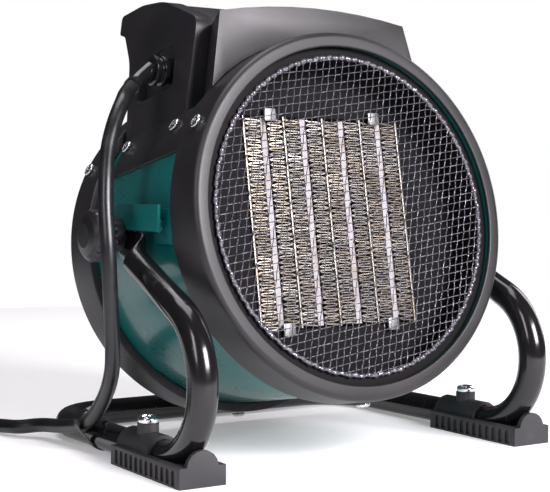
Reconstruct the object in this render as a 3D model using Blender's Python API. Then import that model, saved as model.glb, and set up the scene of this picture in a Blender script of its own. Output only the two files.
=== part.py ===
"""Ceramic space heater: a steel drum with a fan and a ceramic element, tilting on a bent tube stand."""

import math

import bmesh
import bpy
import numpy as np
from mathutils import Matrix, Vector

MM = 0.001

# Overall sizes
DRUM_RADIUS = 98 * MM
DRUM_LENGTH = 158.7 * MM
REST_TILT = math.radians(10.3)
FLOOR_CLEARANCE = 5.7 * MM

# Clearances
GAP = 0.3 * MM
RUNNING_GAP = 0.4 * MM

# Drum
SHELL_WALL = 1.2 * MM
RING_OVERLAP = 5.5 * MM
RING_DEPTH = 27.6 * MM
RING_WALL = 2.5 * MM
RING_LIP = 8.5 * MM
RING_EDGE = 3.5 * MM
ROUND_STEPS = 48
GUARD_DEPTH = 6 * MM
GUARD_RIM = 4 * MM
GUARD_THICKNESS = 2 * MM
GRILLE_THICKNESS = 3 * MM

# Heating element
ELEMENT_HEIGHT = 119.7 * MM
ELEMENT_DEPTH = 15 * MM
ELEMENT_FRONT = 26.6 * MM
STONE_WIDTH = 4.1 * MM
FIN_WIDTH = 10.5 * MM
STRIP_THICKNESS = 1.4 * MM
STONE_COUNT = 4
BAFFLE_FRONT = 28 * MM
BAFFLE_THICKNESS = 1.2 * MM
FRAME_WALL = 4 * MM

# Fan and motor
FAN_TIP_GAP = 6.5 * MM
FAN_HUB_RADIUS = 19 * MM
FAN_DEPTH = 20 * MM
FAN_BLADES = 5
BLADE_TWIST = math.radians(38)
BLADE_THICKNESS = 1.6 * MM
MOTOR_RADIUS = 27 * MM
MOTOR_DEPTH = 30 * MM
MOTOR_FRONT_FROM_REAR = 42 * MM
SHAFT_RADIUS = 3 * MM

# Stand
TUBE_RADIUS = 8 * MM
TUBE_WALL = 1.3 * MM
TUBE_SIDES = 12
LEG_TO_RING = 7.5 * MM
LEG_SLOPE = math.radians(24.6)
LEG_BELOW_PIVOT = 1.8 * MM
FRONT_BEND = 40.5 * MM
REAR_BEND = 36 * MM
CROSSBAR_TO_RING = 7.2 * MM
FLAT_THICKNESS = 3.2 * MM
FLAT_WIDTH = 25 * MM
FLAT_PAST_PIVOT = 11 * MM
FLAT_AHEAD_OF_PIVOT = 17 * MM
FLAT_TRANSITION = 11 * MM

# Feet
FOOT_WIDTH = 26.8 * MM
FOOT_LENGTH = 77.3 * MM
FOOT_SHOULDER = 10.6 * MM
FOOT_SOLE = 1.3 * MM
FOOT_AHEAD_OF_BEND = 41 * MM
FOOT_FRONT_WALL = 3 * MM
SADDLE_WALL = 2 * MM
SADDLE_LENGTH = 36 * MM
BOSS_RADIUS = 6 * MM
BOSS_HEIGHT = 4 * MM
FOOT_RECESSES = 12
RECESS_DEPTH = 1.2 * MM

# Pivot
PIVOT_RISE = 1 * MM
STUD_RADIUS = 2.5 * MM
STUD_HEAD_RADIUS = 6.5 * MM
STUD_HEAD_HEIGHT = 2.2 * MM
KNOB_RADIUS = 14.7 * MM
KNOB_LENGTH = 22 * MM
KNOB_RIBS = 20
KNOB_RIB_DEPTH = 0.9 * MM
STOP_THICKNESS = 1.8 * MM
STOP_WIDTH = 14.4 * MM
STOP_RISE = 10.4 * MM
STOP_AHEAD = 44.5 * MM
STOP_BEHIND = 9.2 * MM
STOP_WEB_AHEAD = 27 * MM
STOP_FOOT_AHEAD = 46.3 * MM
STOP_FOOT_HEIGHT = 19 * MM
STOP_FOOT_RISE = 6 * MM
STOP_SCREW_AHEAD = 33.5 * MM
STOP_SLOPE = math.radians(10.3)

# Console
CONSOLE_FRONT = 22.5 * MM
CONSOLE_LOW_HALF_WIDTH = 76 * MM
CONSOLE_LEAN = 0.21
CONSOLE_HEIGHT = 54.5 * MM
CONSOLE_WALL = 2.4 * MM
BOX_CROWN = 26.8 * MM
BOX_CROWN_DROP = 6.1 * MM
CAP_THICKNESS = 11 * MM
FLANGE_THICKNESS = 2 * MM
FLANGE_FROM = math.radians(138)
FLANGE_TO = math.radians(155.5)
PANEL_RECESS = 13 * MM
PANEL_THICKNESS = 2.4 * MM
DIAL_RADIUS = 11.5 * MM
DIAL_HEIGHT = 12 * MM
DIAL_SPACING = 46 * MM
DIAL_STEM_RADIUS = 3 * MM

# Mains cord
CORD_RADIUS = 4.25 * MM
COIL_RADIUS = 47.5 * MM
COIL_TURNS_WIDE = 2
COIL_TURNS_HIGH = 2
BUSHING_DEPTH = 81 * MM
BUSHING_RADIUS = 9 * MM
BUSHING_REACH = 10.5 * MM
POCKET_X = 64 * MM
SLEEVE_LENGTH = 21 * MM
SLEEVE_WALL = 0.9 * MM
TIE_BEHIND_BEND = 74 * MM
TIE_WIDTH = 5 * MM
TIE_THICKNESS = 0.5 * MM
PLUG_RADIUS = 18.5 * MM
PLUG_LENGTH = 34 * MM
PIN_RADIUS = 2.4 * MM
PIN_LENGTH = 19 * MM
PIN_SPACING = 19 * MM

# Screws
SCREW_HEAD_RADIUS = 4 * MM
SCREW_HEAD_HEIGHT = 2.4 * MM
SCREW_SHANK_RADIUS = 1.7 * MM

# Worked out from the sizes above
RING_RADIUS = DRUM_RADIUS + RING_OVERLAP
OPENING_RADIUS = RING_RADIUS - RING_LIP
SHELL_INSIDE = DRUM_RADIUS - SHELL_WALL
PIVOT_DEPTH = DRUM_LENGTH / 2 - 1.3 * MM
LEG_X = RING_RADIUS + LEG_TO_RING
PIVOT_Y = 2.69 * MM
PIVOT_Z = (
    FLOOR_CLEARANCE
    + (DRUM_LENGTH - PIVOT_DEPTH) * math.sin(REST_TILT)
    + (RING_RADIUS + PIVOT_RISE) * math.cos(REST_TILT)
)
RAIL_Z = TUBE_RADIUS + FOOT_SOLE + GAP
BEND_Z = RAIL_Z + FRONT_BEND
LEG_DROP = PIVOT_Z - LEG_BELOW_PIVOT - BEND_Z
BEND_Y = PIVOT_Y - (LEG_DROP * math.cos(LEG_SLOPE) - FRONT_BEND) / math.sin(LEG_SLOPE)
RING_SWING = math.hypot(DRUM_LENGTH - PIVOT_DEPTH, RING_RADIUS + PIVOT_RISE)
CROSSBAR_Z = TUBE_RADIUS
CROSSBAR_Y = PIVOT_Y + math.sqrt(
    (RING_SWING + CROSSBAR_TO_RING + TUBE_RADIUS) ** 2 - (PIVOT_Z - CROSSBAR_Z) ** 2
)
FLAT_INSIDE = LEG_X - TUBE_RADIUS
FLAT_OUTSIDE = FLAT_INSIDE + FLAT_THICKNESS
STOP_INSIDE = FLAT_OUTSIDE + GAP
STOP_OUTSIDE = STOP_INSIDE + STOP_THICKNESS
KNOB_INSIDE = STOP_OUTSIDE + RUNNING_GAP
CONSOLE_FLOOR = DRUM_RADIUS - 40 * MM
CONSOLE_LOW = DRUM_RADIUS - 35 * MM
CONSOLE_TOP = DRUM_RADIUS + CONSOLE_HEIGHT
CONSOLE_REAR = DRUM_LENGTH - 33.4 * MM
PANEL_BACK = CONSOLE_REAR - PANEL_RECESS
BUSHING_RISE = DRUM_RADIUS
TIE_Y = BEND_Y + TIE_BEHIND_BEND
RAIL_FALL = (RAIL_Z - CROSSBAR_Z) / (CROSSBAR_Y - BEND_Y)

MATERIALS = {
    "drum_paint": ((0.010, 0.105, 0.105), 0.22, 0.0),
    "black_plastic": ((0.030, 0.026, 0.032), 0.45, 0.0),
    "black_enamel": ((0.012, 0.011, 0.013), 0.18, 0.0),
    "foot_rubber": ((0.030, 0.029, 0.033), 0.65, 0.0),
    "cord_rubber": ((0.010, 0.010, 0.012), 0.35, 0.0),
    "bushing_rubber": ((0.010, 0.010, 0.012), 0.12, 0.0),
    "zinc": ((0.70, 0.71, 0.73), 0.28, 1.0),
    "guard_wire": ((0.05, 0.05, 0.06), 0.35, 1.0),
    "fin_aluminium": ((0.62, 0.58, 0.52), 0.35, 1.0),
    "ceramic": ((0.72, 0.62, 0.50), 0.60, 0.0),
    "steel": ((0.35, 0.35, 0.36), 0.40, 1.0),
}


def clear_scene():
    for obj in list(bpy.data.objects):
        bpy.data.objects.remove(obj, do_unlink=True)


def material(name):
    found = bpy.data.materials.get(name)
    if found:
        return found
    colour, roughness, metallic = MATERIALS[name]
    made = bpy.data.materials.new(name)
    made.use_nodes = True
    shader = made.node_tree.nodes["Principled BSDF"]
    shader.inputs["Base Color"].default_value = (*colour, 1)
    shader.inputs["Roughness"].default_value = roughness
    shader.inputs["Metallic"].default_value = metallic
    return made


def empty(name, place, turn=(0, 0, 0)):
    made = bpy.data.objects.new(name, None)
    bpy.context.scene.collection.objects.link(made)
    made.location = place
    made.rotation_euler = turn
    return made


def finish_mesh(name, bm, finish, parent=None, place=(0, 0, 0), turn=(0, 0, 0)):
    """Closes a bmesh into a named object, with its faces pointing out."""
    bmesh.ops.remove_doubles(bm, verts=bm.verts, dist=0.001 * MM)
    bmesh.ops.recalc_face_normals(bm, faces=bm.faces)
    mesh = bpy.data.meshes.new(name)
    bm.to_mesh(mesh)
    bm.free()
    mesh.shade_smooth()
    mesh.set_sharp_from_angle(angle=math.radians(35))
    obj = bpy.data.objects.new(name, mesh)
    bpy.context.scene.collection.objects.link(obj)
    if finish:
        mesh.materials.append(material(finish))
    obj.parent = parent
    obj.location = place
    obj.rotation_euler = turn
    return obj


def turned(name, outline, finish, parent=None, steps=ROUND_STEPS, **place):
    """A closed outline of (radius, y) points, spun about the Y axis."""
    bm = bmesh.new()
    points = [bm.verts.new((radius, y, 0)) for radius, y in outline]
    edges = [bm.edges.new((a, b)) for a, b in zip(points, points[1:])]
    if outline[0][0] > 0 or outline[-1][0] > 0:
        edges.append(bm.edges.new((points[-1], points[0])))
    bmesh.ops.spin(
        bm, geom=points + edges, axis=(0, 1, 0), angle=2 * math.pi, steps=steps, use_merge=True
    )
    return finish_mesh(name, bm, finish, parent, **place)


def box(name, low, high, finish, parent=None, **place):
    bm = bmesh.new()
    bmesh.ops.create_cube(bm, size=1)
    size = Vector(high) - Vector(low)
    centre = (Vector(high) + Vector(low)) / 2
    matrix = Matrix.Translation(centre) @ Matrix.Diagonal((*size, 1))
    bmesh.ops.transform(bm, matrix=matrix, verts=bm.verts)
    return finish_mesh(name, bm, finish, parent, **place)


def loft(name, rings, finish, parent=None, **place):
    """Bridges a row of point rings, each with the same number of points, and closes both ends."""
    bm = bmesh.new()
    loops = [[bm.verts.new(point) for point in ring] for ring in rings]
    count = len(loops[0])
    for near, far in zip(loops, loops[1:]):
        for i in range(count):
            k = (i + 1) % count
            bm.faces.new((near[i], near[k], far[k], far[i]))
    bm.faces.new(loops[0])
    bm.faces.new(loops[-1])
    return finish_mesh(name, bm, finish, parent, **place)


def rod(name, start, end, radius, finish, parent=None, steps=12, **place):
    """A round bar between two points."""
    start, end = Vector(start), Vector(end)
    turn = (end - start).to_track_quat("Z", "X").to_matrix()
    angles = [2 * math.pi * (i + 0.5) / steps for i in range(steps)]
    rim = [turn @ Vector((math.cos(a), math.sin(a), 0)) * radius for a in angles]
    rings = [[centre + offset for offset in rim] for centre in (start, end)]
    return loft(name, rings, finish, parent, **place)


def rounded(corners, steps=4):
    """The outline through (u, v, radius) corners, each rounded by an arc of its radius."""
    outline = []
    for i, (u, v, radius) in enumerate(corners):
        here = Vector((u, v))
        before = (Vector(corners[i - 1][:2]) - here).normalized()
        after = (Vector(corners[(i + 1) % len(corners)][:2]) - here).normalized()
        half = before.angle(after) / 2
        if radius == 0:
            outline.append(tuple(here))
            continue
        reach = radius / math.tan(half)
        centre = here + (before + after).normalized() * radius / math.sin(half)
        first = here + before * reach - centre
        last = here + after * reach - centre
        sweep = first.angle_signed(last)
        for k in range(steps + 1):
            spoke = first.copy()
            spoke.rotate(Matrix.Rotation(-sweep * k / steps, 2))
            outline.append(tuple(centre + spoke))
    return outline


def boolean(target, other, operation):
    modifier = target.modifiers.new(other.name, "BOOLEAN")
    modifier.operation = operation
    modifier.object = other
    modifier.solver = "EXACT"
    other.hide_render = True
    other.display_type = "WIRE"
    if other.parent is None:
        other.parent = target.parent
    return target


def cut(target, *cutters):
    for cutter in cutters:
        boolean(target, cutter, "DIFFERENCE")
    return target


def join(target, *pieces):
    for piece in pieces:
        boolean(target, piece, "UNION")
    return target


def lattice(name, bands, spokes, spoke_width, steps, y_low, y_high, finish, parent):
    """A round grille of solid spokes and of rings between the (inner, outer) radii of bands."""
    radii = [r for band in bands for r in band]
    spoke_half = 0.5 * spoke_width / radii[-1]
    angles = []
    for i in range(spokes):
        middle = 2 * math.pi * i / spokes
        angles.append(middle - spoke_half)
        open_angle = 2 * math.pi / spokes - 2 * spoke_half
        angles.extend(middle + spoke_half + open_angle * k / steps for k in range(steps))
    count = len(angles)

    def solid(ring, sector):
        return ring % 2 == 0 or sector % (steps + 1) == 0

    bm = bmesh.new()
    made = {}
    wall = ((0, y_low), (1, y_low), (1, y_high), (0, y_high))

    def point(ring, sector, y):
        key = (ring, sector % count if ring else 0, y)
        if key not in made:
            a = angles[sector % count]
            made[key] = bm.verts.new((radii[ring] * math.sin(a), y, radii[ring] * math.cos(a)))
        return made[key]

    def face(*corners):
        unique = list(dict.fromkeys(corners))
        if len(unique) > 2:
            bm.faces.new(unique)

    for ring in range(len(radii) - 1):
        for sector in range(count):
            if not solid(ring, sector):
                continue
            for y in (y_low, y_high):
                face(*(point(ring + i, sector + j, y) for i, j in ((0, 0), (1, 0), (1, 1), (0, 1))))
            if ring + 1 == len(radii) - 1 or not solid(ring + 1, sector):
                face(*(point(ring + 1, sector + j, y) for j, y in wall))
            if ring > 0 and not solid(ring - 1, sector):
                face(*(point(ring, sector + j, y) for j, y in wall))
            for side, beside in ((0, sector - 1), (1, sector + 1)):
                if not solid(ring, beside % count):
                    face(*(point(ring + i, sector + side, y) for i, y in wall))
    return finish_mesh(name, bm, finish, parent)


def arc(centre, radius, start, end, steps):
    """Points (u, v) on an arc about centre, from one angle to another."""
    angles = np.linspace(start, end, steps + 1)
    return [(centre[0] + radius * math.cos(a), centre[1] + radius * math.sin(a)) for a in angles]


# Everything on the drum is placed in the drum's own frame: x across, depth back from the front
# plane along the drum's axis, and height above that axis. The tilt axis is that frame's origin.


def drum_y(depth):
    return depth - PIVOT_DEPTH


def drum_z(height):
    return height - PIVOT_RISE


def drum_point(x, depth, height):
    return Vector((x, drum_y(depth), drum_z(height)))


def centred_on_axis():
    """Turned drum pieces are spun about the Y axis and placed on the drum's axis."""
    return {"place": (0, 0, drum_z(0))}


def side_of_drum(angle, radius, depth):
    return drum_point(radius * math.cos(angle), depth, radius * math.sin(angle))


def make_shell(drum):
    outline = [
        (SHELL_INSIDE, drum_y(RING_WALL + GAP)),
        (SHELL_INSIDE, drum_y(DRUM_LENGTH - RING_WALL - GAP)),
        (DRUM_RADIUS, drum_y(DRUM_LENGTH - RING_WALL - GAP)),
        (DRUM_RADIUS, drum_y(RING_WALL + GAP)),
    ]
    shell = turned("drum_shell", outline, "drum_paint", drum, **centred_on_axis())
    reach = DRUM_RADIUS + STUD_HEAD_RADIUS
    bore = rod("stud_bore", (-reach, 0, 0), (reach, 0, 0), STUD_RADIUS + GAP, None, drum)
    slot_low = drum_point(-12 * MM, CONSOLE_FRONT + 20 * MM, DRUM_RADIUS - 6 * MM)
    slot_high = drum_point(12 * MM, CONSOLE_FRONT + 44 * MM, DRUM_RADIUS + 6 * MM)
    wire_slot = box("wire_slot", slot_low, slot_high, None, drum)
    return cut(shell, bore, wire_slot)


def ring_outline(front, back):
    """Section of an end ring: a flat lip, a rounded edge and a skirt that slips over the shell."""
    away = 1 if back > front else -1
    inner = DRUM_RADIUS + GAP
    edge = [
        (r, front + away * (RING_EDGE - rise))
        for r, rise in arc((RING_RADIUS - RING_EDGE, 0), RING_EDGE, math.pi / 2, 0, 2)
    ]
    return [
        (OPENING_RADIUS, front),
        *edge,
        (RING_RADIUS, back),
        (inner, back),
        (inner, front + away * RING_WALL),
        (OPENING_RADIUS, front + away * RING_WALL),
    ]


def make_rings(drum):
    front = ring_outline(drum_y(0), drum_y(RING_DEPTH))
    rear = ring_outline(drum_y(DRUM_LENGTH), drum_y(DRUM_LENGTH - RING_DEPTH))
    turned("front_ring", front, "black_plastic", drum, **centred_on_axis())
    turned("rear_ring", rear, "black_plastic", drum, **centred_on_axis())


def make_grilles(drum):
    rim = SHELL_INSIDE - GAP
    pitch = (rim - GUARD_RIM - 6 * MM) / 4
    bands = [(0, 6 * MM)] + [(3 * MM + pitch * i, 6 * MM + pitch * i) for i in (1, 2, 3)]
    bands.append((rim - GUARD_RIM, rim))
    low = drum_y(GUARD_DEPTH)
    high = low + GUARD_THICKNESS
    guard = lattice("guard_mesh", bands, 10, GUARD_RIM, 3, low, high, "guard_wire", drum)
    guard.location = (0, 0, drum_z(0))
    hub = MOTOR_RADIUS - 3 * MM
    pitch = (rim - 7 * MM - hub) / 4
    bands = [(0, hub)] + [(hub + pitch * i - 3 * MM, hub + pitch * i) for i in range(1, 4)]
    bands.append((rim - 7 * MM, rim))
    low = drum_y(DRUM_LENGTH - RING_WALL - GAP - GRILLE_THICKNESS)
    high = low + GRILLE_THICKNESS
    spoke = 3 * GRILLE_THICKNESS
    grille = lattice("rear_grille", bands, 8, spoke, 4, low, high, "black_plastic", drum)
    grille.location = (0, 0, drum_z(0))


def screw(
    name,
    spot,
    outward,
    parent,
    shank,
    head=SCREW_HEAD_RADIUS,
    rise=SCREW_HEAD_HEIGHT,
    finish="zinc",
):
    """A pan head screw with its seat at spot, its head outward and a short shank inward."""
    outline = [
        (0, rise),
        (head * 0.6, rise * 0.86),
        (head, 0.25 * rise),
        (head, 0),
        (SCREW_SHANK_RADIUS, 0),
        (SCREW_SHANK_RADIUS, -shank),
        (0, -shank),
    ]
    obj = turned(name, outline, finish, parent, steps=8, place=spot)
    obj.rotation_mode = "QUATERNION"
    obj.rotation_quaternion = Vector(outward).to_track_quat("Y", "Z")
    return obj


def screw_hole(name, start, end, parent):
    return rod(name, start, end, SCREW_SHANK_RADIUS + GAP, None, parent, 8)


def make_ring_screws(drum):
    """Three screws at the middle of each ring's skirt, whose shanks go through skirt and shell."""
    names = {"left": math.radians(150), "right": math.radians(30), "bottom": math.radians(270)}
    depths = {"front": RING_DEPTH / 2, "rear": DRUM_LENGTH - RING_DEPTH / 2 + 4 * MM}
    rings = {"front": bpy.data.objects["front_ring"], "rear": bpy.data.objects["rear_ring"]}
    shell = bpy.data.objects["drum_shell"]
    for end, depth in depths.items():
        for side, angle in names.items():
            outward = Vector((math.cos(angle), 0, math.sin(angle)))
            spot = side_of_drum(angle, RING_RADIUS + GAP, depth)
            screw(f"{end}_ring_screw_{side}", spot, outward, drum, RING_OVERLAP - 1 * MM)
            start = side_of_drum(angle, DRUM_RADIUS - 4 * MM, depth)
            hole = screw_hole(f"hole_{end}_{side}", start, spot + outward * 4 * MM, drum)
            cut(rings[end], hole)
            cut(shell, hole)


def make_element(drum):
    """Ceramic strips between aluminium fin banks, in a frame behind a baffle plate."""
    pitch = STONE_WIDTH + 2 * FIN_WIDTH + STRIP_THICKNESS
    width = STONE_COUNT * pitch + STRIP_THICKNESS
    half = width / 2
    low, high = -ELEMENT_HEIGHT / 2, ELEMENT_HEIGHT / 2
    front, back = ELEMENT_FRONT, ELEMENT_FRONT + ELEMENT_DEPTH

    def block(name, left, right, finish, inset):
        corner = drum_point(left, front + inset, low + inset)
        return box(name, corner, drum_point(right, back - inset, high - inset), finish, drum)

    left = -half
    for i in range(STONE_COUNT):
        middle = -half + STRIP_THICKNESS + FIN_WIDTH + STONE_WIDTH / 2 + i * pitch
        stone_left = middle - STONE_WIDTH / 2
        block(f"fin_bank_{i + 1}", left, stone_left, "fin_aluminium", 0)
        stone_right = stone_left + STONE_WIDTH
        block(f"ceramic_strip_{i + 1}", stone_left + GAP, stone_right - GAP, "ceramic", 1 * MM)
        left = stone_right
    block(f"fin_bank_{STONE_COUNT + 1}", left, half, "fin_aluminium", 0)

    baffle_outline = [
        (0, drum_y(BAFFLE_FRONT)),
        (SHELL_INSIDE - GAP, drum_y(BAFFLE_FRONT)),
        (SHELL_INSIDE - GAP, drum_y(BAFFLE_FRONT + BAFFLE_THICKNESS)),
        (0, drum_y(BAFFLE_FRONT + BAFFLE_THICKNESS)),
    ]
    baffle = turned("baffle_plate", baffle_outline, "steel", drum, **centred_on_axis())
    window_low = drum_point(-half - GAP, 0, low - GAP)
    window_high = drum_point(half + GAP, DRUM_LENGTH / 2, high + GAP)
    cut(baffle, box("element_window", window_low, window_high, None, drum))

    frame_front = BAFFLE_FRONT + BAFFLE_THICKNESS + GAP
    frame_low = drum_point(-half - FRAME_WALL, frame_front, low - FRAME_WALL)
    frame_high = drum_point(half + FRAME_WALL, back, high + FRAME_WALL)
    frame = box("element_frame", frame_low, frame_high, "black_plastic", drum)
    cut(frame, box("frame_window", window_low, window_high, None, drum))

    cutout = [(0, 0), (8 * MM, 0), (8 * MM, 6 * MM), (4 * MM, 8 * MM), (0, 8 * MM)]
    spot = drum_point(0, frame_front, -(ELEMENT_HEIGHT / 2 + FRAME_WALL + SHELL_INSIDE) / 2)
    turned("thermal_cutout", cutout, "steel", drum, steps=16, place=spot)


def blade_rings(root, tip):
    """Sections of one fan blade from root to tip: a thin bowed plate that untwists outwards."""
    rings = []
    for share in np.linspace(0, 1, 4):
        radius = root + (tip - root) * share
        twist = BLADE_TWIST * (1.25 - 0.5 * share)
        fullness = 0.62 + 0.38 * math.sin(math.pi * (0.25 + share / 2))
        chord = FAN_DEPTH * 0.9 / math.sin(twist) * fullness
        upper, lower = [], []
        for u in np.linspace(-0.5, 0.5, 4):
            bow = 0.09 * chord * (1 - 4 * u * u)
            across = chord * u * math.cos(twist) - bow * math.sin(twist)
            along = chord * u * math.sin(twist) + bow * math.cos(twist)
            upper.append((across, along + BLADE_THICKNESS / 2, radius))
            lower.append((across, along - BLADE_THICKNESS / 2, radius))
        rings.append(upper + lower[::-1])
    return rings


def make_fan(drum, axis):
    """Motor on a three-armed bracket near the back, with the fan ahead of it."""
    motor_front = DRUM_LENGTH - MOTOR_FRONT_FROM_REAR
    face = drum_y(motor_front)
    body = [
        (0, face + MOTOR_DEPTH),
        (MOTOR_RADIUS - 4 * MM, face + MOTOR_DEPTH),
        (MOTOR_RADIUS, face + MOTOR_DEPTH - 4 * MM),
        (MOTOR_RADIUS, face + 3 * MM),
        (MOTOR_RADIUS - 5 * MM, face),
        (SHAFT_RADIUS + RUNNING_GAP, face),
        (SHAFT_RADIUS + RUNNING_GAP, face + MOTOR_DEPTH * 0.6),
        (0, face + MOTOR_DEPTH * 0.6),
    ]
    turned("fan_motor", body, "steel", drum, steps=24, **centred_on_axis())

    bracket_back = motor_front - GAP
    bracket_front = bracket_back - 2 * MM
    disc = [
        (SHAFT_RADIUS + 3 * MM, drum_y(bracket_front)),
        (MOTOR_RADIUS, drum_y(bracket_front)),
        (MOTOR_RADIUS, drum_y(bracket_back)),
        (SHAFT_RADIUS + 3 * MM, drum_y(bracket_back)),
    ]
    bracket = turned("motor_bracket", disc, "steel", drum, steps=24, **centred_on_axis())
    for i in range(3):
        angle = math.radians(90 + 120 * i)
        arm = box(
            f"bracket_arm_{i}",
            (MOTOR_RADIUS - 6 * MM, drum_y(bracket_front), -6 * MM),
            (SHELL_INSIDE - 2 * GAP, drum_y(bracket_back), 6 * MM),
            None,
            drum,
            place=(0, 0, drum_z(0)),
            turn=(0, -angle, 0),
        )
        join(bracket, arm)

    fan_back = bracket_front - 3 * MM
    fan_front = fan_back - FAN_DEPTH
    middle = drum_y((fan_front + fan_back) / 2)
    hub = [
        (SHAFT_RADIUS + GAP, FAN_DEPTH / 2),
        (SHAFT_RADIUS + GAP, -FAN_DEPTH / 2 - 2 * MM),
        (FAN_HUB_RADIUS * 0.6, -FAN_DEPTH / 2 - 2 * MM),
        (FAN_HUB_RADIUS, -FAN_DEPTH / 2 + 2 * MM),
        (FAN_HUB_RADIUS, FAN_DEPTH / 2),
    ]
    fan = turned("fan_blade", hub, "black_plastic", axis, steps=20, place=(0, middle, 0))
    for i in range(FAN_BLADES):
        rings = blade_rings(FAN_HUB_RADIUS - 2 * MM, SHELL_INSIDE - FAN_TIP_GAP)
        turn = (0, 2 * math.pi * i / FAN_BLADES, 0)
        blade = loft(f"blade_{i}", rings, None, axis, place=(0, middle, 0), turn=turn)
        join(fan, blade)
    start = (0, middle - FAN_DEPTH / 2 - 3 * MM, 0)
    end = (0, face + MOTOR_DEPTH * 0.5, 0)
    rod("fan_shaft", start, end, SHAFT_RADIUS, "steel", axis)


def console_half_width(height):
    """Outer half width of the console, whose sides lean in as they rise."""
    return CONSOLE_LOW_HALF_WIDTH - CONSOLE_LEAN * (height - CONSOLE_LOW)


def on_console_side(side, inset, depth, height):
    return drum_point(side * (console_half_width(height) - inset), depth, height)


def console_prism(name, outline, inner_inset, outer_inset, side, finish, drum):
    """A (depth, height) outline carried across X, between two planes that follow the console's sides."""
    rings = []
    for inset in (inner_inset, outer_inset):
        rings.append([on_console_side(side, inset, depth, height) for depth, height in outline])
    return loft(name, rings, finish, drum)


def console_core(name, outline, inset, finish, drum):
    """A (depth, height) outline carried across X from one side of the console to the other."""
    rings = []
    for side in (-1, 1):
        rings.append([on_console_side(side, inset, depth, height) for depth, height in outline])
    return loft(name, rings, finish, drum)


def inset_corners(corners, distance):
    """The (u, v, radius) corners of an outline, moved so that each of its sides lies that far inside."""
    points = [Vector(corner[:2]) for corner in corners]
    turning = sum(a.x * b.y - b.x * a.y for a, b in zip(points, points[1:] + points[:1]))
    inward = 1 if turning > 0 else -1
    moved = []
    for i, here in enumerate(points):
        before = (here - points[i - 1]).normalized()
        after = (points[(i + 1) % len(points)] - here).normalized()
        normal = Vector((-before.y - after.y, before.x + after.x)).normalized() * inward
        square = Vector((-after.y, after.x)) * inward
        moved.append((*(here + normal * distance / normal.dot(square)), corners[i][2]))
    return moved


def cap_outline(inset=0.0):
    """Side view of a console cap: a front that arches up and back to a hooked grip at the rear."""
    corners = [
        (51 * MM, CONSOLE_FLOOR, 0),
        (48.5 * MM, CONSOLE_TOP - 31 * MM, 10 * MM),
        (DRUM_LENGTH - 64 * MM, CONSOLE_TOP - 7.5 * MM, 60 * MM),
        (DRUM_LENGTH - 35 * MM, CONSOLE_TOP - 1.2 * MM, 60 * MM),
        (DRUM_LENGTH - 5 * MM, CONSOLE_TOP + 0.2 * MM, 3 * MM),
        (DRUM_LENGTH - 5 * MM, CONSOLE_TOP - 12 * MM, 2.5 * MM),
        (DRUM_LENGTH - 13 * MM, CONSOLE_TOP - 15.5 * MM, 6 * MM),
        (DRUM_LENGTH - 24.5 * MM, CONSOLE_TOP - 35.5 * MM, 30 * MM),
        (CONSOLE_REAR, CONSOLE_FLOOR, 0),
    ]
    return rounded(inset_corners(corners, inset))


def grip_outline(inset=0.0):
    """Side view of the console between its caps: the same arch and grip, over a recessed panel."""
    corners = [
        (52 * MM, CONSOLE_FLOOR, 0),
        (49.5 * MM, CONSOLE_TOP - 32 * MM, 10 * MM),
        (DRUM_LENGTH - 64 * MM, CONSOLE_TOP - 8.5 * MM, 60 * MM),
        (DRUM_LENGTH - 35 * MM, CONSOLE_TOP - 2.2 * MM, 60 * MM),
        (DRUM_LENGTH - 6 * MM, CONSOLE_TOP - 0.8 * MM, 3 * MM),
        (DRUM_LENGTH - 6 * MM, CONSOLE_TOP - 12 * MM, 2.5 * MM),
        (DRUM_LENGTH - 20 * MM, CONSOLE_TOP - 16 * MM, 8 * MM),
        (PANEL_BACK, CONSOLE_TOP - 26 * MM, 4 * MM),
        (PANEL_BACK, CONSOLE_FLOOR, 0),
    ]
    return rounded(inset_corners(corners, inset))


def front_box(name, inset, finish, drum):
    """The raised front of the console: an arched face whose sides taper back to the caps."""
    front = CONSOLE_FRONT + inset
    back = 55 * MM
    crown = DRUM_RADIUS + BOX_CROWN - inset
    shoulder = crown - BOX_CROWN_DROP
    half_top = console_half_width(shoulder) - inset
    radius = (half_top**2 + BOX_CROWN_DROP**2) / (2 * BOX_CROWN_DROP)
    swing = math.asin(half_top / radius)
    top = arc((0, crown - radius), radius, math.pi / 2 - swing, math.pi / 2 + swing, 8)
    low_half = console_half_width(CONSOLE_FLOOR) - inset
    face = [(-low_half, CONSOLE_FLOOR), (low_half, CONSOLE_FLOOR), *top]
    rings = []
    for depth, taper in ((front, 0), (back, CAP_THICKNESS + GAP)):
        ring = []
        for x, height in face:
            share = 1 - taper / (console_half_width(height) - inset)
            ring.append(drum_point(x * share, depth, height))
        rings.append(ring)
    return loft(name, rings, finish, drum)


def drum_cutter(name, drum):
    """The room that the drum and its two rings take, with a gap round it."""
    over_ring = RING_RADIUS + 2 * GAP
    over_shell = DRUM_RADIUS + GAP
    front_step = drum_y(RING_DEPTH + GAP)
    rear_step = drum_y(DRUM_LENGTH - RING_DEPTH - GAP)
    outline = [
        (0, drum_y(-10 * MM)),
        (over_ring, drum_y(-10 * MM)),
        (over_ring, front_step),
        (over_shell, front_step),
        (over_shell, rear_step),
        (over_ring, rear_step),
        (over_ring, drum_y(DRUM_LENGTH + 20 * MM)),
        (0, drum_y(DRUM_LENGTH + 20 * MM)),
    ]
    return turned(name, outline, None, drum, **centred_on_axis())


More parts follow.
